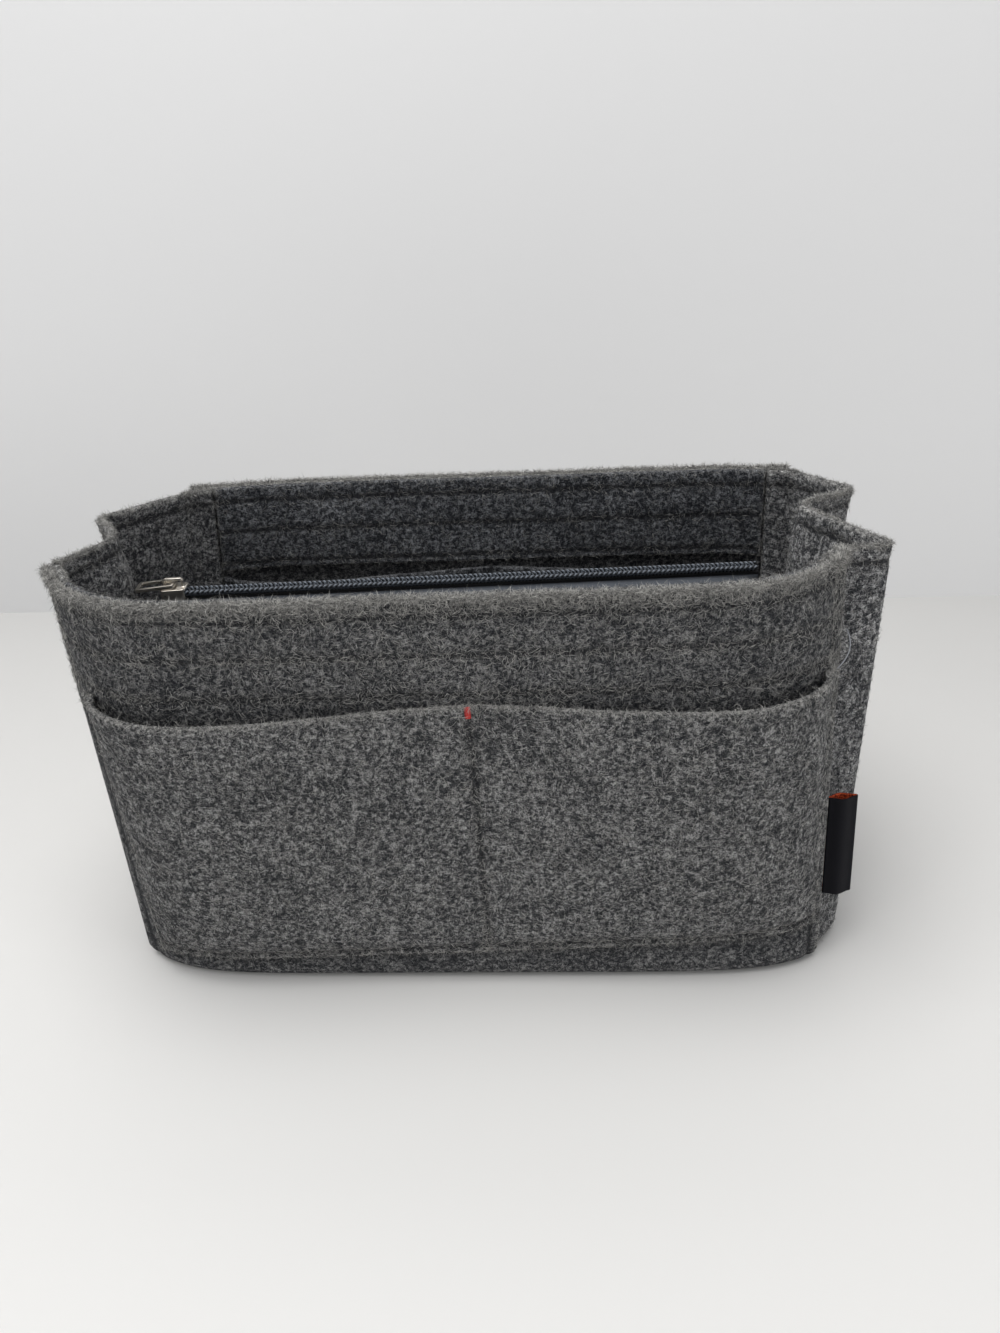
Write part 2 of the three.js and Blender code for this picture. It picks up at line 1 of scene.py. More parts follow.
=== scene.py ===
# %% [markdown]
# # A felt organizer insert for a handbag
# The object is a soft tub of pressed grey felt with slip pockets, two folding end gussets and a
# zipped pouch between the folds. Every felt part is remade here as a fine surface that follows the
# same formulas as the plain solids of the frame, so that seams, cut edges and stitches can be seen.

import json

import bmesh
import bpy
import numpy as np
from mathutils import Matrix, Vector


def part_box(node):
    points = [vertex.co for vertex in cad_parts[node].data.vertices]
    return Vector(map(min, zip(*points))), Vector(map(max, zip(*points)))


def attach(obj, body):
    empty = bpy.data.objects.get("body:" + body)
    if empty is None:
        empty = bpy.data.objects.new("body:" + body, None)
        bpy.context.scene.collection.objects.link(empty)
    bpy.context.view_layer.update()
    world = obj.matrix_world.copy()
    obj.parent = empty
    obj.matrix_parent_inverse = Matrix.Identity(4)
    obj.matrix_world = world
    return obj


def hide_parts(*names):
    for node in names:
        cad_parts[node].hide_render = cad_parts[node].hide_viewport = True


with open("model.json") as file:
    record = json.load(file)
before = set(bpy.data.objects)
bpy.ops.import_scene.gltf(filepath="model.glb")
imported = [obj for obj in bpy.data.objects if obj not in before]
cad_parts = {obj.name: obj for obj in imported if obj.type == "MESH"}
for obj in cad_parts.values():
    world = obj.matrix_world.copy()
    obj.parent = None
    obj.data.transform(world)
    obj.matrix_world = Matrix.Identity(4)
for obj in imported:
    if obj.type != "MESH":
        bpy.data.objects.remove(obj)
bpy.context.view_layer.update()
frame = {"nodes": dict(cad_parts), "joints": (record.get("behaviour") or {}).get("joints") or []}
MM = 0.001
joints = {joint["name"]: joint for joint in frame["joints"]}

# %% [markdown]
# ## Camera
# The photograph looks down on the front of the insert from a little above. The camera's place,
# tilt and lens were fitted to the corners of the tub, and are kept here as plain angles and sizes.

# %% Camera
camera_place = (20.714, -335.916, 272.908)
camera_down = np.radians(28.1455)
camera_turn = np.radians(-2.4150)
camera_roll = np.radians(-2.0)
focal_pixels = 1001
image_height = 1333
sensor_width = 36

ahead = np.array([
    np.sin(camera_turn) * np.cos(camera_down),
    np.cos(camera_turn) * np.cos(camera_down),
    -np.sin(camera_down),
])
level = np.array([np.cos(camera_turn), -np.sin(camera_turn), 0])
above = np.cross(level, ahead)
right = np.cos(camera_roll) * level + np.sin(camera_roll) * above
upward = np.cos(camera_roll) * above - np.sin(camera_roll) * level


def linked(name, data):
    """A new object of the scene."""
    piece = bpy.data.objects.new(name, data)
    bpy.context.scene.collection.objects.link(piece)
    return piece


camera_data = bpy.data.cameras.new("camera")
camera_data.sensor_width = sensor_width
camera_data.lens = focal_pixels * sensor_width / image_height
camera_data.clip_start = 10 * MM
camera = linked("camera", camera_data)
turned = np.column_stack([right, upward, -ahead, np.array(camera_place) * MM])
camera.matrix_world = Matrix([*turned.tolist(), [0, 0, 0, 1]])
bpy.context.scene.camera = camera
print("lens", round(camera_data.lens, 2), "mm")

# %% [markdown]
# ## Driving sizes
# These are the sizes of the tub in millimetres. Places on a wall are given by a share across it,
# from -1 at its left seam to 1 at its right seam, and by a height above the floor.

# %% Sizes
felt_thickness = 2.5
seat_gap = 0.3
rim_height = 151.0
foot_half_length = 127.5
foot_half_depth = 63.5
foot_radius = 6.0
corner_power = 8
rim_twist = np.radians(2.2)
flange_width = 8.0
flange_turn_length = 3.0
band_height = 36.0
layer_step = felt_thickness + seat_gap
mid_depth = layer_step + felt_thickness / 2

outer_foot = (11.0, 20.0)
outer_mouth = (115.5, 115.5)
outer_opening = 8.0
outer_ends = (11.0, 5.0)
outer_divider = 6.0
inner_foot = (10.0, 10.0)
inner_mouth = (112.0, 112.0)
inner_opening = 9.0
mouth_dip = 1.0
divider_half_width = 1.5
spread_power = 0.5
rise_power = 0.45

corner_shares = {
    "front_left": ((-1.005, -0.86), (-1.112, -0.475)),
    "front_right": ((0.96, -0.92), (0.935, -0.6)),
    "back_right": ((1, 0.82), (0.965, 0.82)),
    "back_left": ((-1, 0.82), (-0.89, 0.8)),
}
middle_shares = {"front": (-1.075, -1.015), "back": (1, 0.89)}
crease_shares = {
    "left_front": ((-1.043, -0.66), (-1.105, -0.37)),
    "left_back": ((-1.043, 0.66), (-1.12, 0.31)),
    "right_front": ((1.043, -0.68), (1.078, -0.51)),
    "right_back": ((1.043, 0.66), (1.118, 0.37)),
}
crown_shares = {
    "left": ((-1.043, 0), (-0.985, -0.016)),
    "right": ((1.043, 0), (0.889, 0.16)),
}
crease_radius = 4.5
crown_radius = 11.0
crown_foot = 58.0
crown_relax = 2.0
crown_relax_height = 18.0
round_share = 0.46

wave_depth = 0.45
wave_foot = 12.0
wave_fade = 40.0
wave_across = (11.0, 23.0)
wave_up = (17.0, 13.0)
wave_phase = 1.3

# %% [markdown]
# ## Formulas of the walls
# A wall is flat in its middle and turns towards its corner seams by a power of the share across.
# Near the floor every layer follows one round bend, and a deeper layer takes a smaller radius.

# %% Wall formulas
def lerp(a, b, share):
    """a + (b - a) times the share."""
    return a + (b - a) * share


def smooth(share):
    """3 s^2 - 2 s^3, held between 0 and 1."""
    share = np.clip(share, 0, 1)
    return share * share * (3 - 2 * share)


def stacked(*values):
    """Arrays brought to one shape and put side by side as the coordinates of points."""
    return np.stack(np.broadcast_arrays(*values), -1)


def plan_point(shares, rise):
    """A place in plan, drawn from its foot share to its rim share as the height rises."""
    (x0, y0), (x1, y1) = shares
    return stacked(lerp(x0, x1, rise) * foot_half_length, lerp(y0, y1, rise) * foot_half_depth)


def face_plan(face, across, height):
    """x runs evenly between the corners; y leaves the middle line by the eighth power of the share."""
    across, height = np.broadcast_arrays(np.asarray(across, float), np.asarray(height, float))
    rise = height / rim_height
    left_end = plan_point(corner_shares[face + "_left"], rise)
    right_end = plan_point(corner_shares[face + "_right"], rise)
    middle = lerp(*middle_shares[face], rise) * foot_half_depth
    end_y = np.where(across < 0, left_end[..., 1], right_end[..., 1])
    x = lerp(left_end[..., 0], right_end[..., 0], (across + 1) / 2)
    return stacked(x, middle + (end_y - middle) * np.minimum(np.abs(across), 1) ** corner_power)


def face_tangent(face, across, height):
    """Unit direction along the wall, from two places a thousandth of the width apart."""
    probe = 1e-3
    along = (face_plan(face, np.minimum(across + probe, 1), height)
             - face_plan(face, np.maximum(across - probe, -1), height))
    return along / np.linalg.norm(along, axis=-1, keepdims=True)


def face_normal(face, across, height):
    """Unit direction out of the wall: the tangent turned a quarter."""
    tangent = face_tangent(face, across, height)
    out = 1 if face == "front" else -1
    return out * stacked(tangent[..., 1], -tangent[..., 0])


def foot_bend(height, depth):
    """How far a layer is set in, and how high it is: on the bend a quarter circle of its own radius."""
    height, depth = np.broadcast_arrays(np.asarray(height, float), np.asarray(depth, float))
    lean = np.clip(1 - height / foot_radius, 0, 1)
    radius = foot_radius - depth
    inset = np.where(height < foot_radius, foot_radius - radius * np.sqrt(1 - lean * lean), depth)
    lift = np.where(height < foot_radius, foot_radius - radius * lean, height)
    return inset, lift


def twisted(plan, height, lift):
    """A place in plan turned about the tub's middle by an angle that grows with the height."""
    angle = rim_twist * height / rim_height
    x, y = plan[..., 0], plan[..., 1]
    return stacked(x * np.cos(angle) - y * np.sin(angle), x * np.sin(angle) + y * np.cos(angle), lift)


def wall_wave(across, height):
    """Two crossed sines that all layers share, level at the foot and calmer towards the seams."""
    x = across * foot_half_length
    calm = smooth((height - wave_foot) / wave_fade) * (1 - np.minimum(np.abs(across), 1) ** corner_power)
    first = np.sin(x / wave_across[0] + height / wave_up[0])
    return wave_depth * calm * first * np.sin(height / wave_up[1] - x / wave_across[1] + wave_phase)


def face_point(face, across, height, depth):
    """A wall's plan, less depth and wave along its normal, bent at the foot and twisted."""
    inset, lift = foot_bend(height, depth)
    inset = inset + wall_wave(across, height)
    plan = face_plan(face, across, height) - face_normal(face, across, height) * inset[..., None]
    return twisted(plan, height, lift)


# %% [markdown]
# ## Closed felt sheets
# A felt part is one closed skin: an outer and an inner grid of points that meet along the cut
# edge. The thickness falls off by a quarter circle over the last millimetre, as pressed felt's
# edge does.

# %% Sheet builders
edge_radius = 0.8
edge_steps = 5
least_step = 0.02
row_half_width = 0.7
skins = {}


def graded(low, high, step, rows=()):
    """Places from low to high in even steps, closer together at both ends and beside sewn rows."""
    even = np.linspace(low, high, max(int(round((high - low) / step)), 1) + 1)
    ends = edge_radius * (1 - np.cos(np.linspace(0, np.pi / 2, edge_steps)))
    inner = even[(even > low + 2 * edge_radius) & (even < high - 2 * edge_radius)]
    beside = [row + row_half_width * k for row in rows for k in (-2, -1, 0, 1, 2)]
    places = np.sort(np.concatenate([inner, low + ends, high - ends, beside]))
    return places[np.concatenate([[True], np.diff(places) > least_step])]


def edge_share(along_u, along_v, radius=edge_radius):
    """Share of the half thickness at a distance d from the nearest edge: sqrt(1 - (1 - d / r)^2)."""
    near_u, near_v = (np.minimum(p - p[0], p[-1] - p) for p in (along_u, along_v))
    distance = np.minimum(near_u[:, None], near_v[None, :])
    return np.sqrt(1 - (1 - np.clip(distance / radius, 0, 1)) ** 2), distance


def quads_of(grid):
    """The four corner numbers of every cell of a grid of point numbers."""
    return np.stack([grid[:-1, :-1], grid[1:, :-1], grid[1:, 1:], grid[:-1, 1:]], -1).reshape(-1, 4)


def signed_volume(points, quads):
    """Six times the enclosed volume: the sum over both triangles of each quad of a . (b x c)."""
    a, b, c, d = (points[quads[:, k]] for k in range(4))
    return np.sum(a * np.cross(b, c)) + np.sum(a * np.cross(c, d))


def outward(points, quads):
    """The faces, turned over if they enclose a negative volume."""
    return quads[:, ::-1] if signed_volume(points, quads) < 0 else quads


def closed_ring(numbers):
    """Point numbers of a grid with its first column put behind its last one."""
    return np.concatenate([numbers, numbers[:, :1]], 1)


def add_piece(name, points, faces, material, body, attributes=None, uv=None, caps=()):
    """Puts points in millimetres and faces into a mesh object that rides on a body."""
    mesh = bpy.data.meshes.new(name)
    mesh.from_pydata((points * MM).tolist(), [], [*faces.tolist(), *caps])
    mesh.update()
    mesh.polygons.foreach_set("use_smooth", np.full(len(mesh.polygons), True))
    for key, values in (attributes or {}).items():
        layer = mesh.attributes.new(key, "FLOAT", "POINT")
        layer.data.foreach_set("value", np.asarray(values, np.float32))
    if uv is not None:
        corner = np.empty(len(mesh.loops), np.int32)
        mesh.loops.foreach_get("vertex_index", corner)
        mesh.uv_layers.new(name="sheet").data.foreach_set("uv", uv[corner].astype(np.float32).ravel())
    mesh.materials.append(material)
    piece = linked(name, mesh)
    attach(piece, body)
    return piece


def closed_sheet(name, outer, inner, material, body, uv, attributes=None):
    """One closed skin from two grids that share their border points, turned outwards."""
    n, m = outer.shape[:2]
    front = np.arange(n * m).reshape(n, m)
    back = front.copy()
    back[1:-1, 1:-1] = n * m + np.arange((n - 2) * (m - 2)).reshape(n - 2, m - 2)

    def both(a, b):
        return np.concatenate([a.reshape(n * m, -1), b[1:-1, 1:-1].reshape((n - 2) * (m - 2), -1)])

    points = both(outer, inner)
    skins[name] = (outer, inner, uv)
    faces = outward(points, np.vstack([quads_of(front), quads_of(back)[:, ::-1]]))
    pairs = {key: v if isinstance(v, tuple) else (v, v) for key, v in (attributes or {}).items()}
    values = {key: both(*pair).ravel() for key, pair in pairs.items()}
    return add_piece(name, points, faces, material, body, values, both(uv, uv))


# %% [markdown]
# ## Shader maths
# A small class wraps a node's output so that Python's operators add the Math nodes, and one
# method makes any other node from its type, its settings and the values of its sockets.

# %% Shader helper
class Wire:
    """A value inside a node tree: + - * / and ** on it add Math nodes."""

    def __init__(self, tree, output):
        self.tree, self.output = tree, output

    def math(self, operation, *values):
        return make_node(self.tree, "ShaderNodeMath", {"operation": operation}, dict(enumerate(values)))

    def __add__(self, other): return self.math("ADD", self, other)
    def __radd__(self, other): return self.math("ADD", other, self)
    def __sub__(self, other): return self.math("SUBTRACT", self, other)
    def __rsub__(self, other): return self.math("SUBTRACT", other, self)
    def __mul__(self, other): return self.math("MULTIPLY", self, other)
    def __rmul__(self, other): return self.math("MULTIPLY", other, self)
    def __truediv__(self, other): return self.math("DIVIDE", self, other)
    def __pow__(self, other): return self.math("POWER", self, other)


def make_node(tree, kind, settings=None, sockets=None, out=0):
    """Any node from its type; settings are set first, then its sockets get values or links."""
    node = tree.nodes.new(kind)
    for key, value in (settings or {}).items():
        setattr(node, key, value)
    for key, value in (sockets or {}).items():
        if isinstance(value, Wire):
            tree.links.new(value.output, node.inputs[key])
        else:
            node.inputs[key].default_value = value
    return Wire(tree, node.outputs[out])


def new_material(name):
    """A material with a Principled shader, its tree, and the place of each point in the object."""
    material = bpy.data.materials.new(name)
    material.use_nodes = True
    return material, material.node_tree, make_node(material.node_tree, "ShaderNodeTexCoord", out=3)


def dress(tree, colour, values, height=None, strength=0.4, distance=0.0001):
    """Links a colour and the bump of a height to the shader, and sets or links its other values."""
    shader = tree.nodes["Principled BSDF"]
    bump = height and make_node(tree, "ShaderNodeBump", {}, {
        "Strength": strength, "Distance": distance, "Height": height})
    for key, value in {"Base Color": colour, "Normal": bump, **values}.items():
        if isinstance(value, Wire):
            tree.links.new(value.output, shader.inputs[key])
        elif value is not None:
            shader.inputs[key].default_value = value


def stored(tree, name):
    """A value that is stored with each point."""
    return make_node(tree, "ShaderNodeAttribute", {"attribute_name": name}, out=2)


def darkened(colour, share):
    """A colour times a share, with its alpha kept."""
    return (*(c * share for c in colour[:3]), 1)


def mixed(tree, factor, first, second):
    """A colour between two colours."""
    return make_node(tree, "ShaderNodeMix", {"data_type": "RGBA"}, {0: factor, 6: first, 7: second}, out=2)


def noise(tree, place, scale, detail=2.0, roughness=0.5, distortion=0.0):
    """Smooth noise from 0 to 1 whose features measure about 1 / scale metres."""
    return make_node(tree, "ShaderNodeTexNoise", {}, {
        "Vector": place, "Scale": scale, "Detail": detail, "Roughness": roughness, "Distortion": distortion})


def ramp(tree, value, low, high):
    """0 below low, 1 above high, and straight between."""
    return make_node(tree, "ShaderNodeMapRange", {}, {
        "Value": value, "From Min": low, "From Max": high})


def spots(tree, place, scale, roughness, distortion, reach):
    """Noise whose values at a reach below and above its middle become 0 and 1."""
    return ramp(tree, noise(tree, place, scale, 2.0, roughness, distortion), 0.5 - reach, 0.5 + reach)


def stretched(tree, place, turn, scale):
    """Object coordinates turned and scaled apart, for noise that runs in one direction."""
    return make_node(tree, "ShaderNodeMapping", {"vector_type": "POINT"}, {
        "Vector": place, "Rotation": turn, "Scale": scale})


# %% [markdown]
# ## Felt
# Pressed felt is a mat of short dyed fibres, light and dark, that lie every way. Its colour is
# made of soft clouds, blotches and grains, under thin crooked strands of two sizes in many
# directions. All of them also raise the surface. Cut edges are paler. The rim band is lighter,
# partly from wear and partly as painted light from above. Sewn rows are darkened by painted
# crease shade, and a painted shadow lies on the wall below each outer pocket's foot.

# %% Felt material
def strand_lines(tree, place, turn, scale, width):
    """Thin crooked lines: the places where a stretched noise lies near its middle value."""
    field = noise(tree, stretched(tree, place, turn, scale), 1.0, 1.5, 0.5, 1.4) - 0.5
    return ramp(tree, field.math("ABSOLUTE", field), width, 0.0)


def strands(tree, place, layers, width):
    """The brightest of some layers of lines, each with its own turn and stretch."""
    lines = [strand_lines(tree, place, turn, scale, width) for turn, scale in layers]
    total = lines[0]
    for line in lines[1:]:
        total = total.math("MAXIMUM", total, line)
    return total


light_layers = (((0.3, 0.5, 0.2), (210, 620, 620)), ((1.1, -0.4, 0.9), (600, 200, 600)),
                ((-0.6, 0.9, -0.7), (560, 620, 210)), ((0.8, 1.9, 0.4), (330, 950, 950)))
fine_layers = (((0.5, 0.1, 1.3), (450, 1500, 1500)), ((-0.9, 0.7, 0.5), (1500, 450, 1500)),
               ((0.2, -1.1, -0.4), (1400, 1500, 450)))
strand_width = 0.05
fine_width = 0.06
# Painted shade: the colour of the painted crease shade on sewn rows and of the painted shadow below the outer
# pockets' feet.
sewn_shade = (0.006, 0.0065, 0.009, 1)


def felt_material(name, dark, light, edge_tint=(0.84, 0.82, 0.765, 1)):
    """Pale crossed strands over clouds, blotches and grains between two greys, paler at the cut edge, lighter
    on the rim band partly from wear and partly as painted light, and darker where painted shade lies.
    """
    material, tree, place = new_material(name)
    clouds = spots(tree, place, 70, 0.5, 0.0, 0.18)
    blotch = spots(tree, place, 270, 0.6, 0.8, 0.13)
    grain = spots(tree, place, 620, 0.6, 0.6, 0.10)
    pale = strands(tree, place, light_layers, strand_width)
    fine = strands(tree, place, fine_layers, fine_width)
    tone = clouds * 0.09 + blotch * 0.14 + grain * 0.32 + pale * 0.45 + fine * 0.36
    colour = mixed(tree, ramp(tree, tone, 0.46, 1.12) ** 2.0, dark, light)
    # Paler at cut edges; lighter on the rim band, partly for wear and partly as painted light from above.
    colour = mixed(tree, stored(tree, "edge") * ramp(tree, tone, 0.45, 1.08), colour, edge_tint)
    # Painted shade: darkened along sewn rows and below the outer pockets' feet.
    colour = mixed(tree, stored(tree, "sewn_and_shade") * 0.92, colour, sewn_shade)
    height = pale * 0.7 + fine * 0.4 + blotch * 0.9 + grain * 0.5 + clouds * 1.2
    dress(tree, colour, {"Roughness": 0.96, "Specular IOR Level": 0.15, "Sheen Weight": 0.06,
                         "Sheen Roughness": 0.6}, height, 0.8, 0.0006)
    return material


body_felt = felt_material("body_felt", (0.008, 0.010, 0.0145, 1), (0.410, 0.406, 0.398, 1))
# Painted light: the gussets take the body's felt made lighter, standing in for the light they catch from the
# sides.
lit_gusset_felt = felt_material("lit_gusset_felt", (0.009, 0.011, 0.016, 1), (0.680, 0.675, 0.668, 1))
pocket_felt = felt_material("pocket_felt", (0.010, 0.012, 0.016, 1), (0.560, 0.553, 0.540, 1))
inner_felt = felt_material("inner_felt", (0.006, 0.008, 0.013, 1), (0.420, 0.432, 0.450, 1),
                           (0.24, 0.24, 0.24, 1))
# Painted shade: a darker copy of the felt for the inner pockets, which lie in the shade below the facings.
shaded_pocket_felt = felt_material("shaded_pocket_felt", (0.003, 0.004, 0.007, 1), (0.270, 0.280, 0.295, 1),
                          (0.42, 0.42, 0.43, 1))

# %% Thread, tape, nylon, metal and ribbon
def plain_material(name, colour, roughness, metallic=0.0, grain=900, depth=0.0001):
    """One colour with a little noise in its tone, its roughness and its surface."""
    material, tree, place = new_material(name)
    grains = noise(tree, place, grain, 2.0)
    rough = grains * 0.15 + (roughness - 0.075)
    dress(tree, mixed(tree, grains, darkened(colour, 0.75), colour),
          {"Roughness": rough, "Metallic": metallic}, grains, distance=depth)
    return material


thread = plain_material("dark_thread", (0.024, 0.026, 0.032, 1), 0.7, grain=2500)
pale_thread = plain_material("pale_thread", (0.30, 0.31, 0.33, 1), 0.7, grain=2500)
red_thread = plain_material("red_thread", (0.55, 0.03, 0.025, 1), 0.6, grain=2500)
coil_nylon = plain_material("coil_nylon", (0.050, 0.060, 0.076, 1), 0.36, grain=700)
nickel = plain_material("nickel", (0.82, 0.77, 0.69, 1), 0.30, metallic=1.0, grain=400, depth=0.00002)
loop_cloth = plain_material("loop_cloth", (0.045, 0.046, 0.050, 1), 0.95, grain=1800, depth=0.0005)


def toned_material(name, dark, pale, roughness):
    """A colour between two by the tone stored with each point."""
    material, tree, _ = new_material(name)
    dress(tree, mixed(tree, stored(tree, "tone"), dark, pale), {"Roughness": roughness})
    return material


# Painted highlight and shade: the cord's two strands, one pale and one dark, stand for the lit and shaded
# sides of its ribs.
chain_cord = toned_material("chain_cord", (0.010, 0.012, 0.016, 1), (0.17, 0.19, 0.22, 1), 0.6)


def tape_material():
    """Woven tape: a fine check of warp and weft waves on its own map, in slate blue, with painted shadow
    darkening its neck under the chain.
    """
    material, tree, _ = new_material("zip_tape")
    sheet = make_node(tree, "ShaderNodeTexCoord", out=2)
    across, along = (make_node(tree, "ShaderNodeSeparateXYZ", {}, {0: sheet}, out=k) for k in (0, 1))
    warp, weft = (way.math("SINE", way * (2 * np.pi / pitch))
                  for way, pitch in ((across, 0.5), (along, 0.7)))
    weave = warp * weft * 0.5 + 0.5
    colour = mixed(tree, weave, (0.048, 0.055, 0.067, 1), (0.098, 0.108, 0.125, 1))
    # Painted shadow: the tape's neck under the chain is darkened to near black.
    colour = mixed(tree, ramp(tree, along, 2.3, 1.5), colour, (0.004, 0.0045, 0.006, 1))
    dress(tree, colour, {"Roughness": 0.8}, weave, 0.6, 0.0002)
    return material


zip_tape = tape_material()

# %% [markdown]
# ## Walls of the tub
# The front and back walls, the facing bands inside the rim and the slip pockets are all layers
# of one wall formula, each at its own depth. Three sewn rows run along the rim band.

# %% Wall layers
rim_rows = (145.0, 132.0, 118.0)
row_width = 1.1
row_depth = 0.45
shade_width = 2.0
shade_strength = 0.9
shade_drop = 1.2
edge_reach = 1.8
rim_reach = 3.0
seam_inset = 4.2
foot_row = 3.0
end_seam = 2.5
seam_closing = seat_gap + 0.1
seam_fade = 6.0


def sewn_share(height, rows):
    """1 on a sewn row, falling off as exp(-(d / w)^2) beside it."""
    return sum((np.exp(-((height - row) / row_width) ** 2) for row in rows), np.zeros_like(height))


def wall_sheet(name, face, u, v, height_of, depth_of, material, rows=(), uprights=(), pale=0.7,
               worn_and_lit=0.0, low_row=None, shade=None):
    """A layer of a wall between two depths; u is the place across in mm, v the way up in mm."""
    across = (u / foot_half_length)[:, None]
    height = height_of(across, v[None, :])
    depth = depth_of(across, height)
    share, distance = edge_share(u, v)
    # Sewn rows: the felt is thinned there, and their colour gets painted crease shade.
    sewn_and_shade = np.clip(sewn_share(height, rows), 0, 1)
    for upright in uprights:
        sewn_and_shade = np.maximum(sewn_and_shade, sewn_share(u[:, None], (upright,)))
    if low_row:
        sewn_and_shade = np.maximum(sewn_and_shade, sewn_share(v[None, :], (low_row,)))
    half = felt_thickness / 2
    thin = np.where(share > 0, np.maximum(half * share - row_depth * sewn_and_shade, 0), 0)
    outer, inner = (face_point(face, across, height, depth + half + way * thin) for way in (-1, 1))
    edge = pale * np.clip(1 - distance / edge_reach, 0, 1)
    # The rim band is made lighter: partly wear, partly painted light from above.
    edge = np.maximum(edge, worn_and_lit * smooth(1 - (rim_height - height) / rim_reach))
    # Painted shadow below the outer pocket's foot edge, in colour only.
    if shade:
        near = np.exp(-((height - shade(across)) / shade_width) ** 2)
        sewn_and_shade = np.maximum(sewn_and_shade, shade_strength * near)
    return closed_sheet(name, outer, inner, material, "tub", stacked(u[:, None], height),
                        {"edge": edge, "sewn_and_shade": sewn_and_shade})


wall_seams = (seam_inset - foot_half_length, foot_half_length - seam_inset)
full_width = graded(-foot_half_length, foot_half_length, 2.5, wall_seams)
flange_edge = foot_half_length - flange_width - seat_gap
inside_width = graded(-flange_edge, flange_edge, 2.5)


def straight_up(across, v):
    """The height is the way up."""
    return v + 0 * across


def pocket_foot_shade(across):
    """The height of the painted shadow below the outer pocket's foot."""
    return lerp(*outer_foot, (across + 1) / 2) - shade_drop


for face in ("front", "back"):
    wall = wall_sheet(f"{face}_wall", face, full_width, graded(0, rim_height, 2.5, rim_rows), straight_up,
                      lambda across, height: 0 * height, body_felt, rim_rows, wall_seams, worn_and_lit=1.0,
                      shade=pocket_foot_shade)
    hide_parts(f"{face}_panel")
    band = wall_sheet(f"{face}_facing", face, inside_width,
                      graded(rim_height - band_height, rim_height, 2.5, rim_rows), straight_up,
                      lambda across, height: layer_step + 0 * height, inner_felt, rim_rows, pale=0.5)
    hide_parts(f"{face}_band")

# %% Slip pockets
def pocket_spread(across, ends, divider):
    """sin(pi s^2), with s the share from the divider seam to the pocket's end: widest near the end."""
    seam = divider_half_width / foot_half_length
    whole = np.where(across < divider, divider - ends[0], ends[1] - divider) - seam
    share = (np.abs(across - divider) - seam) / whole
    return np.maximum(np.sin(np.pi * np.clip(share, 0, 1) ** 2), 0)


def pocket_sheet(name, face, u, feet, mouths, opening, divider, outside, material):
    """A slip pocket: above its sewn foot its gap opens by powers of the spread and of the rise."""
    seam = end_seam / foot_half_length
    ends = (u[0] / foot_half_length + seam, u[-1] / foot_half_length - seam)
    length = mouths[0] - feet[0]

    def spread(across):
        return pocket_spread(across, ends, divider / foot_half_length)

    def foot_at(across):
        return lerp(*feet, (across + 1) / 2)

    def mouth_at(across):
        return lerp(*mouths, (across + 1) / 2) - mouth_dip * spread(across)

    def height_of(across, v):
        return lerp(foot_at(across), mouth_at(across), v / length)

    def depth_of(across, height):
        rise = height - foot_at(across) - foot_row
        share = np.clip(rise / (mouth_at(across) - foot_at(across) - foot_row), 0, 1)
        gap = opening * spread(across) ** spread_power * share ** rise_power
        beside = np.minimum(across - ends[0], ends[1] - across) * foot_half_length
        gap = gap - seam_closing * (1 - smooth(np.minimum(rise, beside) / seam_fade))
        return -layer_step - gap if outside else layer_step + gap

    v = graded(0, length, 2.2, (foot_row,))
    return wall_sheet(name, face, u, v, height_of, depth_of, material, uprights=(divider,), pale=0.3,
                      low_row=foot_row)


outer_width = (outer_ends[0] - foot_half_length, foot_half_length - outer_ends[1])
inner_width = (-flange_edge, flange_edge)
pocket_forms = (
    ("outer", outer_width, outer_foot, outer_mouth, outer_opening, outer_divider, True, pocket_felt),
    ("inner", inner_width, inner_foot, inner_mouth, inner_opening, 0.0, False, shaded_pocket_felt),
)
for face in ("front", "back"):
    for kind, width, *form in pocket_forms:
        places = graded(*width, 2.2, (form[3],))
        pocket = pocket_sheet(f"{face}_{kind}_slip_pocket", face, places, *form)
        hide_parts(f"{face}_{kind}_pocket")

# %% [markdown]
# ## End gussets
# Each end is one strip of felt that is sewn to the front wall, folds out to a crease, in to a
# crown and out to a second crease, and ends at the back wall. Its middle line at a height is a
# path through these corners, each rounded by a quadratic curve.

# %% Gussets
path_legs = (5, 8, 16, 16, 8, 5)
path_bend_steps = 8


def unit(vectors):
    """Vectors divided by their own length."""
    return vectors / np.linalg.norm(vectors, axis=-1, keepdims=True)


def crown_plan(side, height):
    """The crown lies on the end wall at the floor, folds in by a smooth step, and relaxes at the rim."""
    plan = plan_point(crown_shares[side], smooth(height / crown_foot))
    relax = smooth((height - rim_height + crown_relax_height) / crown_relax_height)
    return plan + stacked(np.sign(plan[..., 0]) * crown_relax * relax, 0)


def rounded_path(corners, leg_steps, bend_steps):
    """Legs and quadratic bends through corners given as (points, radius), for all heights at once."""
    parts = []
    last = corners[0][0]
    for k, (point, radius) in enumerate(corners[1:], 1):
        if radius:
            before = corners[k - 1][0] - point
            after = corners[k + 1][0] - point
            reach = np.minimum(radius, round_share * np.minimum(
                np.linalg.norm(before, axis=-1), np.linalg.norm(after, axis=-1)))[..., None]
            start, end = point + unit(before) * reach, point + unit(after) * reach
        else:
            start = end = point
        share = np.linspace(0, 1, leg_steps[k - 1] + 1)[:-1, None, None]
        parts.append(lerp(last, start, share))
        if radius:
            share = np.linspace(0, 1, bend_steps + 1)[:-1, None, None]
            parts.append(start * (1 - share) ** 2 + 2 * point * share * (1 - share) + end * share ** 2)
        last = end
    parts.append(last[None])
    return np.concatenate(parts)


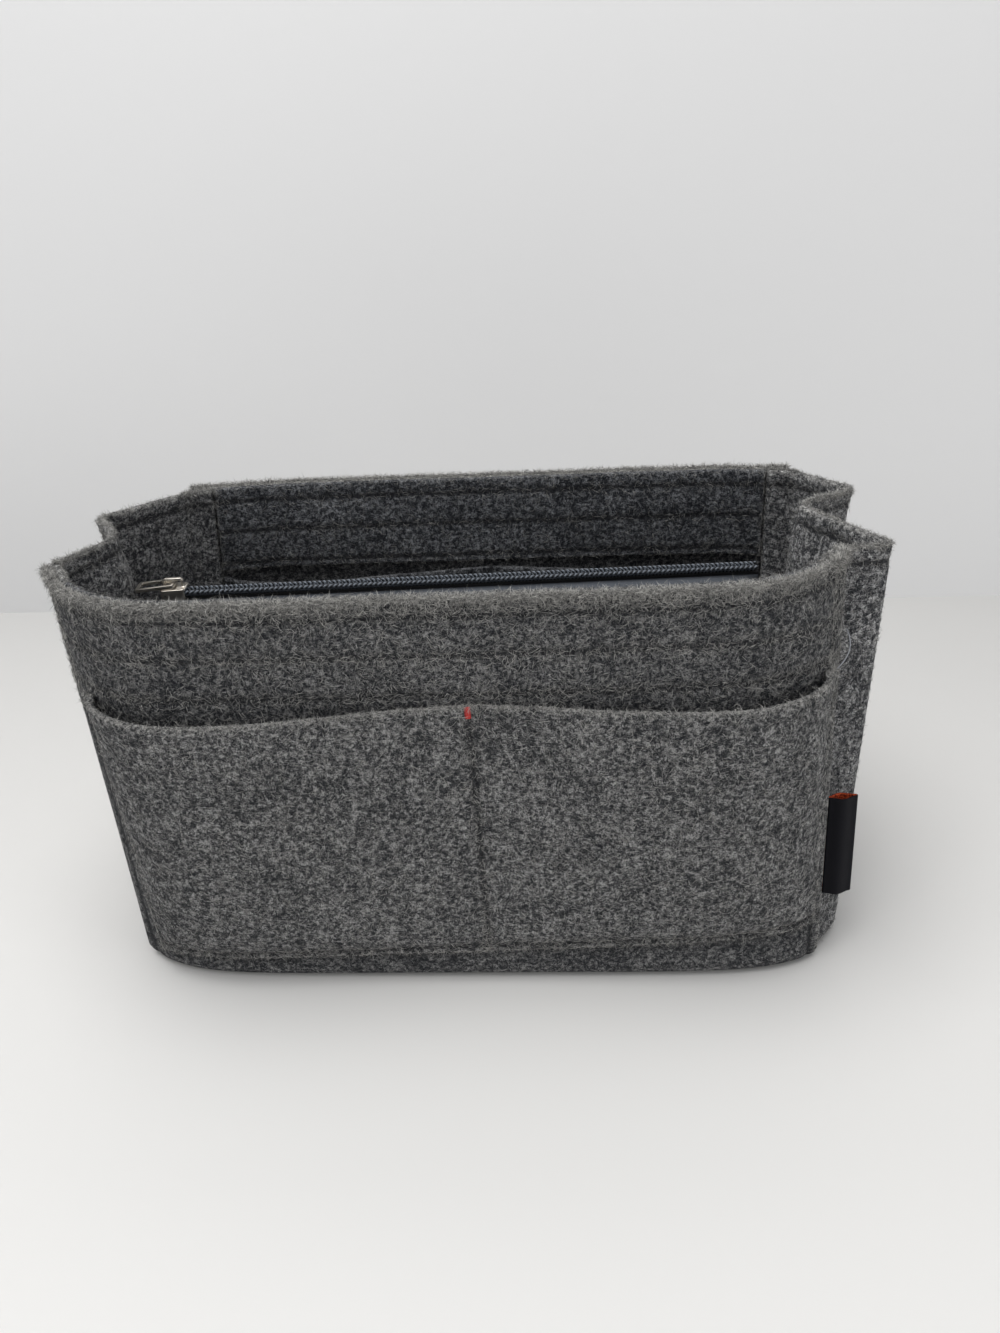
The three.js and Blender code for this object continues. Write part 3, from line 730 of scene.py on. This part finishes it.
def gusset_path(side, height):
    """The middle line of a gusset, as an array of (places along, heights, 3)."""
    end = 1 if side == "right" else -1
    rise = height / rim_height

    def flange(face):
        across = end * (1 - flange_width / foot_half_length) + 0 * height
        return face_point(face, across, height, mid_depth)

    def turn(face):
        inset, lift = foot_bend(height, mid_depth)
        across = end + 0 * height
        forward = end * flange_turn_length * face_tangent(face, across, height)
        plan = (face_plan(face, across, height) + forward
                - face_normal(face, across, height) * inset[:, None])
        return twisted(plan, height, lift)

    def wall(plan, before, after):
        along = unit(after - before)
        normal = end * stacked(along[:, 1], -along[:, 0])
        inset, lift = foot_bend(height, felt_thickness / 2)
        return twisted(plan - normal * inset[:, None], height, lift)

    front_crease = plan_point(crease_shares[side + "_front"], rise)
    back_crease = plan_point(crease_shares[side + "_back"], rise)
    crown = crown_plan(side, height)
    front_end = face_plan("front", end + 0 * height, height)
    back_end = face_plan("back", end + 0 * height, height)
    corners = [
        (flange("front"), 0),
        (turn("front"), felt_thickness),
        (wall(front_crease, front_end, crown), crease_radius),
        (wall(crown, front_crease, back_crease), crown_radius),
        (wall(back_crease, crown, back_end), crease_radius),
        (turn("back"), felt_thickness),
        (flange("back"), 0),
    ]
    return rounded_path(corners, path_legs, path_bend_steps)


def path_length(line):
    """Running length along a line of points."""
    steps = np.linalg.norm(np.diff(line, axis=0), axis=-1)
    return np.concatenate([[0], np.cumsum(steps)])


def grid_normals(grid):
    """Unit normals of a grid of points, from its own differences."""
    return unit(np.cross(np.gradient(grid, axis=0), np.gradient(grid, axis=1)))


def offset_sheet(name, grid, thickness, v, material, body, rows=(), shift=0.0, pale=0.35, worn_and_lit=0.0,
                 extra=None):
    """A closed sheet round a grid of middle points, thinned at its edges and along sewn rows."""
    along = path_length(grid[:, grid.shape[1] // 2])
    share, distance = edge_share(along, v, thickness / 2)
    # Sewn rows thin the felt, and their colour gets painted crease shade.
    sewn_and_shade = np.clip(sewn_share(np.broadcast_to(v[None, :], share.shape), rows), 0, 1)
    half = np.maximum(thickness / 2 * share - row_depth * sewn_and_shade * (share > 0), 0)[..., None]
    normals = grid_normals(grid)
    middle = grid + normals * shift
    edge = pale * np.clip(1 - distance / (thickness / 2), 0, 1)
    # The rim band is made lighter: partly wear, partly painted light from above.
    edge = np.maximum(edge, worn_and_lit * smooth(1 - (rim_height - v) / rim_reach)[None, :])
    return closed_sheet(name, middle + normals * half, middle - normals * half, material, body,
                        stacked(along[:, None], v[None, :]), {"edge": edge, "sewn_and_shade": sewn_and_shade, **(extra or {})})


gusset_heights = graded(0, rim_height, 2.5, rim_rows[:1])
for side in ("left", "right"):
    gusset = offset_sheet(f"{side}_folding_gusset", gusset_path(side, gusset_heights), felt_thickness,
                          gusset_heights, lit_gusset_felt, "tub", rim_rows[:1], worn_and_lit=0.5)
    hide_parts(f"{side}_gusset")

# %% [markdown]
# ## Bottom
# The bottom is one flat panel inside the round foot bends. Its outline is the walls' own line at
# the floor, set in by the foot radius, and its surface is a fan of rings towards the middle.

# %% Bottom panel
outline_points = 61
rim_points = 9
ring_count = 21
least_ring = 0.02


def bottom_outline():
    """The floor lines of both walls and both gussets, a seat gap inside their own feet."""
    turning = np.sin(np.linspace(-1, 1, outline_points) * np.pi / 2)
    edges = {}
    for face in ("front", "back"):
        edges[face] = face_plan(face, turning, 0) - face_normal(face, turning, 0) * (foot_radius + seat_gap)
    for side, end in (("right", 1), ("left", -1)):
        path = gusset_path(side, np.zeros(1))[:, 0, :2]
        along = unit(np.gradient(path, axis=0))
        inside = path - end * seat_gap * stacked(along[:, 1], -along[:, 0])
        start = path_legs[0] + path_bend_steps + path_legs[1]
        edges[side] = inside[start:len(path) - start]
    return np.concatenate([edges["front"], edges["right"], edges["back"][::-1], edges["left"][::-1]])


def flat_panel(name, line, low, high, material, body):
    """Rings of an outline, anticlockwise from above, shrunk to its middle, with a round rim."""
    middle = line.mean(0)
    turn = np.linspace(-np.pi / 2, np.pi / 2, rim_points)
    half = (high - low) / 2
    reach = np.abs(line - middle).max()
    rim = stacked(1 - half / reach * (1 - np.cos(turn)), (low + high) / 2 + half * np.sin(turn))
    inward = np.linspace(rim[-1, 0], least_ring, ring_count + 1)[1:]
    rings = np.concatenate([stacked(inward[::-1], low), rim, stacked(inward, high)])
    n, m = len(rings), len(line)
    plan = middle + (line - middle) * rings[:, None, :1]
    points = stacked(plan[..., 0], plan[..., 1], rings[:, 1:]).reshape(-1, 3)
    points = np.concatenate([points, [[*middle, low], [*middle, high]]])
    numbers = closed_ring(np.arange(n * m).reshape(n, m))
    caps = np.concatenate([stacked(ring[1:], ring[:-1], hub)
                           for ring, hub in ((numbers[0], n * m), (numbers[-1][::-1], n * m + 1))])
    return add_piece(name, points, quads_of(numbers.T), material, body, caps=caps.tolist())


bottom = flat_panel("bottom_felt", bottom_outline(), 0.0, felt_thickness, body_felt, "tub")
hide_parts("bottom_panel")

# %% [markdown]
# ## Pouch
# The pouch hangs between the two crowns. It has its own straight frame: along it runs the zip,
# so its direction comes from the slider's joint and its middle from the chain's box.

# %% Pouch frame
run = np.array(joints["slider_travel"]["axis"])
chain_boxes = np.array([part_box("zipper_coil_front"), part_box("zipper_coil_back")]) / MM
pouch_middle = (chain_boxes[:, 0].min(0) + chain_boxes[:, 1].max(0)) / 2
chain_half = (chain_boxes[:, 1, 0].max() - chain_boxes[:, 0, 0].min()) / 2 / run[0]
chain_floor = chain_boxes[:, 0, 2].min()
pouch_foot, pouch_top = np.array(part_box("pouch_front_panel"))[:, 2] / MM
chain_margin = 6.84
pouch_half = chain_half + chain_margin
pouch_seam = 4.0
pouch_belly = 8.0
pouch_power = 8
pouch_rise_power = 0.6
pouch_pale = 0.5
print("pouch middle", pouch_middle.round(2), "half length", round(pouch_half, 2),
      "chain floor", round(chain_floor, 2))


def in_pouch(points):
    """Points of the pouch's own frame turned along the zip and moved to its middle."""
    x, y, z = points[..., 0], points[..., 1], points[..., 2]
    return stacked(pouch_middle[0] + x * run[0] - y * run[1], pouch_middle[1] + x * run[1] + y * run[0], z)


def pouch_half_depth(x, height):
    """Half the pouch's depth: flat at seams and foot, fuller by a power of the rise above."""
    share = np.minimum(np.abs(x) / (pouch_half - pouch_seam), 1)
    rise = np.maximum((height - pouch_foot - pouch_seam) / (pouch_top - pouch_foot - pouch_seam), 0)
    return layer_step / 2 + pouch_belly * (1 - share ** pouch_power) * rise ** pouch_rise_power


pouch_x = graded(-pouch_half, pouch_half, 2.5)
pouch_z = graded(pouch_foot, pouch_top, 2.5)
for face, out in (("front", -1), ("back", 1)):
    x, z = np.meshgrid(pouch_x, pouch_z, indexing="ij")
    share, distance = edge_share(pouch_x, pouch_z)
    middle = pouch_half_depth(x, z)
    sides = [in_pouch(stacked(x, out * (middle + way * share * felt_thickness / 2), z)) for way in (1, -1)]
    edge = pouch_pale * np.clip(1 - distance / edge_radius, 0, 1)
    panel = closed_sheet(f"pouch_{face}_felt", *sides, pocket_felt, "pouch", stacked(x, z), {"edge": edge})
    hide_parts(f"pouch_{face}_panel")

# %% [markdown]
# ## Zip
# Each tape is a strip of woven cloth that comes up from inside the pouch, goes over a shoulder,
# a quarter of an ellipse, to the middle and carries a coil of nylon wire. The two coils are set
# half a turn apart, so their loops stand in each other's gaps. Down a tape, stations 0 to 1 are
# beside the chain, 1 to 2 are on the shoulder and 2 to 3 are inside the pouch.

# %% Zip tapes
tape_thickness = 0.6
tape_root = 0.75
tape_neck = 1.9
tape_lap = 6.0
tape_rise = (0, 1 / 3, 2 / 3, 1)
tape_shoulder = (1.1, 1.25, 1.4, 1.5, 1.6, 1.75, 1.88, 2)
tape_inside = (2.25, 2.5, 2.75, 3)
neck = chain_floor - tape_neck
down = np.array(tape_rise + tape_shoulder + tape_inside)
turn = np.clip(down - 1, 0, 1) * np.pi / 2
shoulder = pouch_top + (neck - pouch_top) * np.cos(turn) - tape_lap * np.maximum(down - 2, 0)
tape_z = np.where(down < 1, lerp(chain_floor - seat_gap, neck, down), shoulder)
tape_x = graded(-chain_half, chain_half, 3.0)
clear = felt_thickness / 2 + seat_gap + tape_thickness / 2
inside = np.maximum(pouch_half_depth(tape_x, pouch_top - tape_lap) - clear, tape_root)
for face, out in (("front", -1), ("back", 1)):
    grid = stacked(tape_x[:, None], out * lerp(tape_root, inside[:, None], np.sin(turn)), tape_z)
    v = path_length(grid[len(tape_x) // 2])
    half = (tape_thickness / 2 * edge_share(tape_x, v, tape_thickness / 2)[0])[..., None]
    normals = grid_normals(grid)
    tape = closed_sheet(f"zip_tape_{face}", in_pouch(grid + normals * half), in_pouch(grid - normals * half),
                        zip_tape, "pouch", stacked(tape_x[:, None], v[None, :]))
    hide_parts(f"zipper_tape_{face}")

# %% Tubes and coils
nearly_up = (0.0, 0.05, 1.0)
tip_share = 0.01


def tube(line, radius, sides):
    """Points and outward faces of a tube along a line, drawn to a point at its ends."""
    tangent = unit(np.gradient(line, axis=0))
    side = unit(np.cross(tangent, nearly_up))
    up = np.cross(side, tangent)
    angle = np.linspace(0, 2 * np.pi, sides, endpoint=False)
    ring = side[:, None] * np.cos(angle)[None, :, None] + up[:, None] * np.sin(angle)[None, :, None]
    width = np.full(len(line), radius)
    width[[0, -1]] = radius * tip_share
    points = (line[:, None] + width[:, None, None] * ring).reshape(-1, 3)
    return points, outward(points, quads_of(closed_ring(np.arange(len(points)).reshape(-1, sides))))


coil_height = 1.9
coil_half_width = 2.7
coil_reach = 0.55
coil_wire = 0.27
coil_pitch = 1.3
coil_lean = 0.45
coil_sides = 6
coil_points = 12


def coil_line(out, lead):
    """A flattened helix: x advances with the angle, y and z go round an oval, and the loops lean."""
    turns = int((2 * chain_half - coil_pitch) / coil_pitch)
    angle = np.linspace(0, 2 * np.pi * turns, turns * coil_points + 1)
    half_y = (coil_half_width + coil_reach) / 2 - coil_wire
    half_z = coil_height / 2 - coil_wire
    lean = coil_lean * coil_pitch * np.cos(angle)
    x = coil_pitch * (angle / (2 * np.pi) - turns / 2) + lead + lean
    y = out * ((coil_half_width - coil_reach) / 2 - half_y * np.cos(angle))
    z = chain_floor + coil_height / 2 + half_z * np.sin(angle)
    return stacked(x, y, z)


cord_place = 2.0
cord_rise = 1.66
cord_strand = 0.34
cord_pitch = 1.8
cord_margin = 0.5
cord_points = 11
cord_sides = 5
cord_width = 1.25
cord_height = 0.9


def cord_line(out, start):
    """One strand of the twisted cord that sews a coil to its tape: a helix round a straight line."""
    turns = 2 * (chain_half - cord_margin) / cord_pitch
    angle = np.linspace(0, 2 * np.pi * turns, int(turns * cord_points))
    x = cord_pitch * angle / (2 * np.pi) - chain_half + cord_margin
    y = out * cord_place + cord_strand * cord_width * np.cos(angle * out + start)
    z = chain_floor + cord_rise + cord_strand * cord_height * np.sin(angle * out + start)
    return stacked(x, y, z)


for face, out in (("front", -1), ("back", 1)):
    points, faces = tube(in_pouch(coil_line(out, out * coil_pitch / 4)), coil_wire, coil_sides)
    coil = add_piece(f"zip_coil_{face}", points, faces, coil_nylon, "pouch")
    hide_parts(f"zipper_coil_{face}")
    first, second = (tube(in_pouch(cord_line(out, start)), cord_strand, cord_sides) for start in (0, np.pi))
    count = len(first[0])
    # One strand gets the pale tone and the other the dark one: painted highlight and shade on the cord.
    add_piece(f"chain_cord_{face}", np.concatenate([first[0], second[0]]),
              np.concatenate([first[1], second[1] + count]), chain_cord, "pouch",
              {"tone": np.repeat([0.0, 1.0], count)})
    print(f"coil and cord {face}: {len(points)} and {2 * count} points")

# %% [markdown]
# ## Slider and pull
# The slider and its pull are small castings plated with nickel. The plain solids have the right
# shape, so each is copied, its doubles are merged and its sharp edges get a small round.

# %% Castings
def rounded_casting(name, node, width, body):
    """A nickel copy of a plain solid with merged corners and rounded edges."""
    mesh = frame["nodes"][node].data.copy()
    work = bmesh.new()
    work.from_mesh(mesh)
    bmesh.ops.remove_doubles(work, verts=work.verts, dist=1e-6)
    bmesh.ops.dissolve_limit(work, angle_limit=np.radians(1), verts=work.verts, edges=work.edges)
    work.to_mesh(mesh)
    work.free()
    mesh.name = name
    mesh.materials.clear()
    mesh.materials.append(nickel)
    piece = linked(name, mesh)
    bevel = piece.modifiers.new("round", "BEVEL")
    bevel.width = width * MM
    bevel.segments = 3
    bevel.limit_method = "ANGLE"
    mesh.polygons.foreach_set("use_smooth", np.full(len(mesh.polygons), True))
    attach(piece, body)
    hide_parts(node)


rounded_casting("nickel_slider", "zipper_slider", 0.18, "slider")
rounded_casting("nickel_pull", "slider_pull", 0.35, "pull")

# %% [markdown]
# ## Hook and loop strips
# The pouch is held to the folds by narrow strips: loops are sewn round each crown, hooks over
# each end seam of the pouch.

# %% Strips
patch_thickness = 1.2
hook_width = 6.0
hook_wrap = 0.012
patch_top = 122.0
patch_bottom = 66.0
strip_heights = graded(patch_bottom, patch_top, 3.0)
crown_start = sum(path_legs[:3]) + 2 * path_bend_steps
for side, inward in (("left", 1), ("right", -1)):
    crown_rows = gusset_path(side, strip_heights)[crown_start:crown_start + path_bend_steps + 1]
    loops = offset_sheet(f"{side}_loop_strip", crown_rows, patch_thickness, strip_heights, loop_cloth, "tub",
                         shift=inward * (felt_thickness / 2 + seat_gap + patch_thickness / 2))
    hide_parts(f"{side}_loop_patch")
    hook_x = -inward * (pouch_half + seat_gap + patch_thickness / 2)
    hook_y = graded(-hook_width / 2, hook_width / 2, 0.8)[:, None]
    hook_grid = in_pouch(stacked(hook_x + hook_wrap * hook_y ** 2 * inward, hook_y, strip_heights[None, :]))
    hooks = offset_sheet(f"{side}_hook_strip", hook_grid, patch_thickness, strip_heights, loop_cloth, "pouch")
    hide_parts(f"{side}_hook_patch")
    box = np.array(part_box(f"{side}_hook_patch")) / MM
    print(side, "hook strip's middle less the solid's", (hook_grid.mean((0, 1)) - box.mean(0)).round(2))

# %% [markdown]
# ## Label
# A folded ribbon stands out of the right front seam. It is plain black, and its inner side shows
# the orange back of the weave.

# %% Label
label_height = 37.5
label_foot = 27.0
label_reach = 10.5
label_thickness = 0.5
label_belly = 2.0
label_angle = np.radians(8)
leaf_points = 24
fold_points = 7


def ribbon_material():
    """Black satin ribbon; the side that faces inwards is orange, chosen by an attribute."""
    material, tree, place = new_material("label_ribbon")
    grains = noise(tree, place, 2200, 2.0)
    orange = mixed(tree, ramp(tree, grains, 0.4, 0.6), (0.10, 0.012, 0.006, 1), (0.62, 0.10, 0.035, 1))
    black = mixed(tree, grains, (0.0015, 0.0015, 0.003, 1), (0.006, 0.006, 0.009, 1))
    dress(tree, mixed(tree, stored(tree, "inside"), black, orange),
          {"Roughness": 0.6, "Specular IOR Level": 0.12}, grains)
    return material


def label_line():
    """Both leaves in plan: they part by sin(pi s)^2 and meet in a tight fold at their far end."""
    share = np.linspace(0, 1, leaf_points + 1)[:-1]
    step = (label_thickness + seat_gap) / 2
    leaf = stacked(share * label_reach, step + label_belly * np.sin(np.pi * share) ** 2 * (1 - share / 2))
    turn = np.linspace(-np.pi / 2, np.pi / 2, fold_points)
    tip = stacked(label_reach + step * (np.cos(turn) - 1), step * np.sin(turn))
    return np.concatenate([leaf * [1, -1], tip, leaf[::-1]])


label_v = graded(label_foot, label_foot + label_height, 2.0)
roots = face_point("front", 1.0 + 0 * label_v, label_v, felt_thickness / 2)
x, y = label_line().T
x = x + 2 * seat_gap
cosine, sine = np.cos(label_angle), np.sin(label_angle)
label_grid = roots[None] + stacked(x * cosine - y * sine, x * sine + y * cosine, 0)[:, None]
heart = label_grid.mean(0, keepdims=True)
leaning = np.sum(grid_normals(label_grid) * (label_grid - heart), axis=-1)
outer_side = (leaning < 0).astype(float)
label = offset_sheet("folded_label", label_grid, label_thickness, label_v, ribbon_material(), "tub",
                     pale=0.0, extra={"inside": (outer_side, 1 - outer_side)})
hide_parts("side_label")

# %% [markdown]
# ## Stitches
# A stitch is a short thread that dips into the felt at both ends. One small shape is copied
# along every sewn row by array maths.

# %% Stitches
stitch_length = 2.5
stitch_pitch = 3.1
stitch_radius = 0.27
stitch_taper = 0.999
stitch_dip = 1.3
tack_length = 3.8
tack_rise = 0.45
tack_pitch = 0.42


def stitch_shape(rings=5, sides=6):
    """A round thread along x, thinner and lower at its ends."""
    along = np.linspace(-1, 1, rings)[:, None]
    angle = np.linspace(0, 2 * np.pi, sides, endpoint=False)
    radius = stitch_radius * np.sqrt(1 - stitch_taper * along ** 2)
    lift = -stitch_radius * stitch_dip * along ** 2
    points = stacked(along * stitch_length / 2, radius * np.cos(angle), lift + radius * np.sin(angle))
    return points.reshape(-1, 3), quads_of(closed_ring(np.arange(rings * sides).reshape(rings, sides)))


def sew(name, lines, material, pitch=stitch_pitch, crosswise=False):
    """Stitches along lines given as (points, outward normals), all in one mesh on the tub."""
    shape, faces = stitch_shape()
    clouds = []
    for points, normals in lines:
        length = path_length(points)
        places = np.arange(pitch / 2, length[-1], pitch)

        def at(values):
            return stacked(*(np.interp(places, length, values[:, k]) for k in range(3)))

        normal, tangent = unit(at(normals)), unit(at(np.gradient(points, axis=0)))
        axes = np.stack([tangent, np.cross(normal, tangent), normal], 1)
        if crosswise:
            axes = axes[:, (1, 0, 2)]
        clouds.append(at(points)[:, None] + shape @ axes)
    cloud = np.concatenate(clouds)
    faces = faces[None, :, ::-1 if crosswise else 1] + len(shape) * np.arange(len(cloud))[:, None, None]
    add_piece(name, cloud.reshape(-1, 3), faces.reshape(-1, 4), material, "tub")
    print(name, len(cloud), "stitches")


def skin_normals(sheet, skin):
    """Unit normals of one skin of a sheet, pointing away from its other skin."""
    grid = skins[sheet][skin]
    normals = grid_normals(grid)
    return normals * np.sign(np.sum(normals * (grid - skins[sheet][1 - skin])))


def skin_row(sheet, skin, upright, place, trim=0.0):
    """A line of a skin: up it at a place across, or across it at a height above its foot."""
    grid, normals, uv = skins[sheet][skin], skin_normals(sheet, skin), skins[sheet][2]
    ladder = uv[:, 0, 0] if upright else uv[0, :, 1] - uv[0, 0, 1]
    if not upright:
        grid, normals = np.swapaxes(grid, 0, 1), np.swapaxes(normals, 0, 1)
    index = min(np.interp(place, ladder, np.arange(len(ladder))), len(ladder) - 1.001)
    low, share = int(index), index - int(index)
    points, out = (lerp(values[low], values[low + 1], share) for values in (grid, normals))
    length = path_length(points)
    inside = (length > trim) & (length < length[-1] - trim)
    return points[inside], unit(out)[inside]


for face in ("front", "back"):
    wall, facing = f"{face}_wall", f"{face}_facing"
    outer, inner = f"{face}_outer_slip_pocket", f"{face}_inner_slip_pocket"
    rows = [skin_row(wall, 0, False, height, 3) for height in rim_rows]
    rows += [skin_row(facing, 1, False, height - rim_height + band_height, 2) for height in rim_rows]
    rows += [skin_row(wall, 0, True, place, 6) for place in wall_seams]
    rows += [skin_row(outer, 0, False, foot_row, 3), skin_row(inner, 1, False, foot_row, 3)]
    rows += [skin_row(outer, 0, True, outer_divider, 2), skin_row(inner, 1, True, 0.0, 2)]
    sew(f"{face}_stitches", rows, thread)
    points, normals = skin_row(outer, 0, True, outer_divider, 0.8)
    tack = path_length(points)[-1] - path_length(points) < tack_length
    raised = points[tack] + tack_rise * normals[tack]
    sew(f"{face}_bar_tack", [(raised, normals[tack])], red_thread, tack_pitch, crosswise=True)
for side in ("left", "right"):
    gusset = f"{side}_folding_gusset"
    front, back = skins[gusset][:2]
    whole = path_length(front[:, front.shape[1] // 2])[-1]
    inside_skin = 0 if np.abs(front[0, 10, 1]) < np.abs(back[0, 10, 1]) else 1
    rows = [skin_row(gusset, skin, False, rim_rows[0], 12) for skin in (0, 1)]
    rows += [skin_row(gusset, inside_skin, True, place, 6) for place in (seam_inset, whole - seam_inset)]
    sew(f"{side}_gusset_stitches", rows, thread)

# %% [markdown]
# A loose end of pale thread hangs out of the right front seam, as on the real insert.

# %% Loose thread
hang_across = (1.0, 0.962)
hang_heights = (126.0, 115.0)
hang_curve = 1.4
hang_clear = (1.2, 2.2, 0.8)
hang_radius = 0.22
share = np.linspace(0, 1, 24)
away = hang_clear[0] + hang_clear[1] * np.sin(np.pi * share) + hang_clear[2] * share
hang = face_point("front", lerp(*hang_across, share ** hang_curve), lerp(*hang_heights, share), -away)
add_piece("loose_thread", *tube(hang, hang_radius, 7), pale_thread, "tub")

# %% [markdown]
# ## Loose fibres
# Felt sheds fine fibres along its cut edges and all over its faces. Each one is a thin bent spike
# with three sides, rooted at a random place of a skin. Those at a rim stand up, the others lie down.

# %% Fibres
fibre_radius = 0.085
fibre_root = 0.06
fibre_curl = 0.35
least_rise = 0.02
fibre_wool = toned_material("fibre", (0.02, 0.022, 0.027, 1), (0.62, 0.605, 0.565, 1), 0.9)
spike = np.array([(0, 2, 1), (0, 1, 4), (0, 4, 3), (1, 2, 5), (1, 5, 4), (2, 0, 3), (2, 3, 5),
                  (3, 4, 6), (4, 5, 6), (5, 3, 6)])


def fuzz(name, sheet, skin, count, length=(1.0, 3.4), lift=0.3, up=(0, 1), tones=(0.1, 0.8), body="tub"):
    """Spikes at random places of a skin: root, bend and tip, with the bend half way along."""
    rng = np.random.default_rng(len(name) * 7919 + count)
    grid, normals = skins[sheet][skin], skin_normals(sheet, skin)
    n, m = grid.shape[:2]
    i = rng.uniform(0, n - 1 - 1e-6, count)
    j = rng.uniform(up[0] * (m - 1), up[1] * (m - 1) - 1e-6, count)
    i0, j0 = i.astype(int), j.astype(int)
    fi, fj = (i - i0)[:, None], (j - j0)[:, None]

    def sample(g):
        return lerp(lerp(g[i0, j0], g[i0 + 1, j0], fi), lerp(g[i0, j0 + 1], g[i0 + 1, j0 + 1], fi), fj)

    root, normal = sample(grid), unit(sample(normals))
    heading = unit(np.cross(normal, rng.normal(size=(count, 3))))
    beside = np.cross(normal, heading)
    reach = rng.uniform(*length, count)[:, None]
    rise = rng.uniform(least_rise, lift, count)[:, None]
    curl = rng.normal(0, fibre_curl, count)[:, None]

    def at(share):
        return root + reach * (heading * share + beside * curl * share ** 2
                               + normal * rise * share * (1.3 - 0.6 * share))

    angle = np.linspace(0, 2 * np.pi, 3, endpoint=False)
    ring = fibre_radius * (beside[:, None] * np.cos(angle)[None, :, None]
                           + normal[:, None] * np.sin(angle)[None, :, None])
    points = np.concatenate([(root - fibre_root * normal)[:, None] + ring,
                             at(0.5)[:, None] + 0.8 * ring, at(1.0)[:, None]], 1)
    faces = (spike[None] + 7 * np.arange(count)[:, None, None]).reshape(-1, 3)
    tone = np.repeat(rng.uniform(*tones, count) ** 1.3, 7)
    add_piece(name, points.reshape(-1, 3), faces, fibre_wool, body, {"tone": tone})


for face in ("front", "back"):
    wall, pocket = f"{face}_wall", f"{face}_outer_slip_pocket"
    fuzz(f"{face}_wall_fuzz", wall, 0, 15000, up=(0.55, 1), tones=(0.05, 0.95))
    fuzz(f"{face}_pocket_fuzz", pocket, 0, 15000, tones=(0.05, 0.95))
    fuzz(f"{face}_mouth_fuzz", pocket, 0, 1800, (0.5, 1.6), 0.9, (0.96, 1), (0.3, 0.95))
    fuzz(f"{face}_rim_fuzz", wall, 0, 12000, (0.6, 3.2), 1.0, (0.93, 1), (0.2, 1))
    fuzz(f"{face}_rim_fuzz_inside", wall, 1, 3000, (0.6, 2.2), 1.0, (0.96, 1), (0.3, 1))
    fuzz(f"{face}_facing_fuzz", f"{face}_facing", 1, 3500, lift=0.35)
for side in ("left", "right"):
    gusset, dark = f"{side}_folding_gusset", (0.0, 0.2)
    fuzz(f"{side}_loop_fuzz", f"{side}_loop_strip", 0, 1200, (0.3, 0.8), 1.6, tones=dark)
    fuzz(f"{side}_hook_fuzz", f"{side}_hook_strip", 0, 900, (0.2, 0.5), 1.6, tones=dark, body="pouch")
    fuzz(f"{side}_gusset_fuzz_outside", gusset, 0, 6000)
    fuzz(f"{side}_gusset_fuzz_inside", gusset, 1, 6000)
    fuzz(f"{side}_gusset_rim_fuzz", gusset, 0, 2500, (0.6, 2.2), 1.0, (0.94, 1), (0.2, 0.95))

# %% [markdown]
# ## Floor, backdrop and light
# The insert stands on a pale table in front of a pale wall, in soft daylight from above. One
# large lamp hangs over it, weaker ones stand at the left and the right, and the world fills the
# rest. Both planes are clear from behind, so that the object shows from every side.

# %% Stage
floor_front = -0.2
floor_back = 0.26
plane_reach = 3
backdrop_lean = 0.6


def stage_plane(name, corners, colour, change):
    """A flat plane that isn't part of the object; painted shade darkens it evenly to the back."""
    mesh = bpy.data.meshes.new(name)
    mesh.from_pydata(corners, [], [(0, 1, 2, 3)])
    material, tree, place = new_material(name)
    y = make_node(tree, "ShaderNodeSeparateXYZ", {}, {0: place}, out=1)
    # Painted shade: the colour falls off towards the back, with a little noise, in place of the light's
    # fall-off.
    share = ramp(tree, y, floor_front, floor_back) + (noise(tree, place, 3.0, 1.0) * 0.1 - 0.05)
    dress(tree, mixed(tree, share, colour, darkened(colour, change)),
          {"Roughness": 0.6, "Specular IOR Level": 0.2})
    behind = make_node(tree, "ShaderNodeNewGeometry", out=6)
    clear = make_node(tree, "ShaderNodeBsdfTransparent")
    solid = Wire(tree, tree.nodes["Principled BSDF"].outputs[0])
    both = make_node(tree, "ShaderNodeMixShader", {}, {0: behind, 1: solid, 2: clear})
    tree.links.new(both.output, tree.nodes["Material Output"].inputs["Surface"])
    mesh.materials.append(material)
    plane = linked(name, mesh)


low, high, far = -plane_reach, plane_reach, floor_back + backdrop_lean
stage_plane("table", [(low, low, 0), (high, low, 0), (high, high, 0), (low, high, 0)],
            (0.76, 0.75, 0.728, 1), 0.76)
stage_plane("backdrop", [(low, floor_back, 0), (high, floor_back, 0), (high, far, high), (low, far, high)],
            (0.745, 0.742, 0.737, 1), 0.90)


def area_lamp(name, place, target, size, power):
    """A square lamp that looks at a target."""
    data = bpy.data.lights.new(name, "AREA")
    data.size = size
    data.energy = power
    lamp = linked(name, data)
    lamp.location = place
    lamp.rotation_euler = (Vector(target) - Vector(place)).to_track_quat("-Z", "Y").to_euler()


area_lamp("ceiling_lamp", (-0.18, -0.15, 1.25), (0, 0, 0.05), 0.9, 12.5)
area_lamp("left_lamp", (-1.3, -0.8, 0.8), (0, 0, 0.08), 0.9, 5)
area_lamp("right_lamp", (1.3, -0.8, 0.35), (0.1, 0, 0.06), 0.6, 6.0)
world = bpy.data.worlds.new("room")
bpy.context.scene.world = world
world.use_nodes = True
sky = world.node_tree.nodes["Background"].inputs
sky["Color"].default_value = (0.93, 0.95, 1.0, 1)
sky["Strength"].default_value = 0.33
bpy.context.scene.view_settings.view_transform = "Standard"
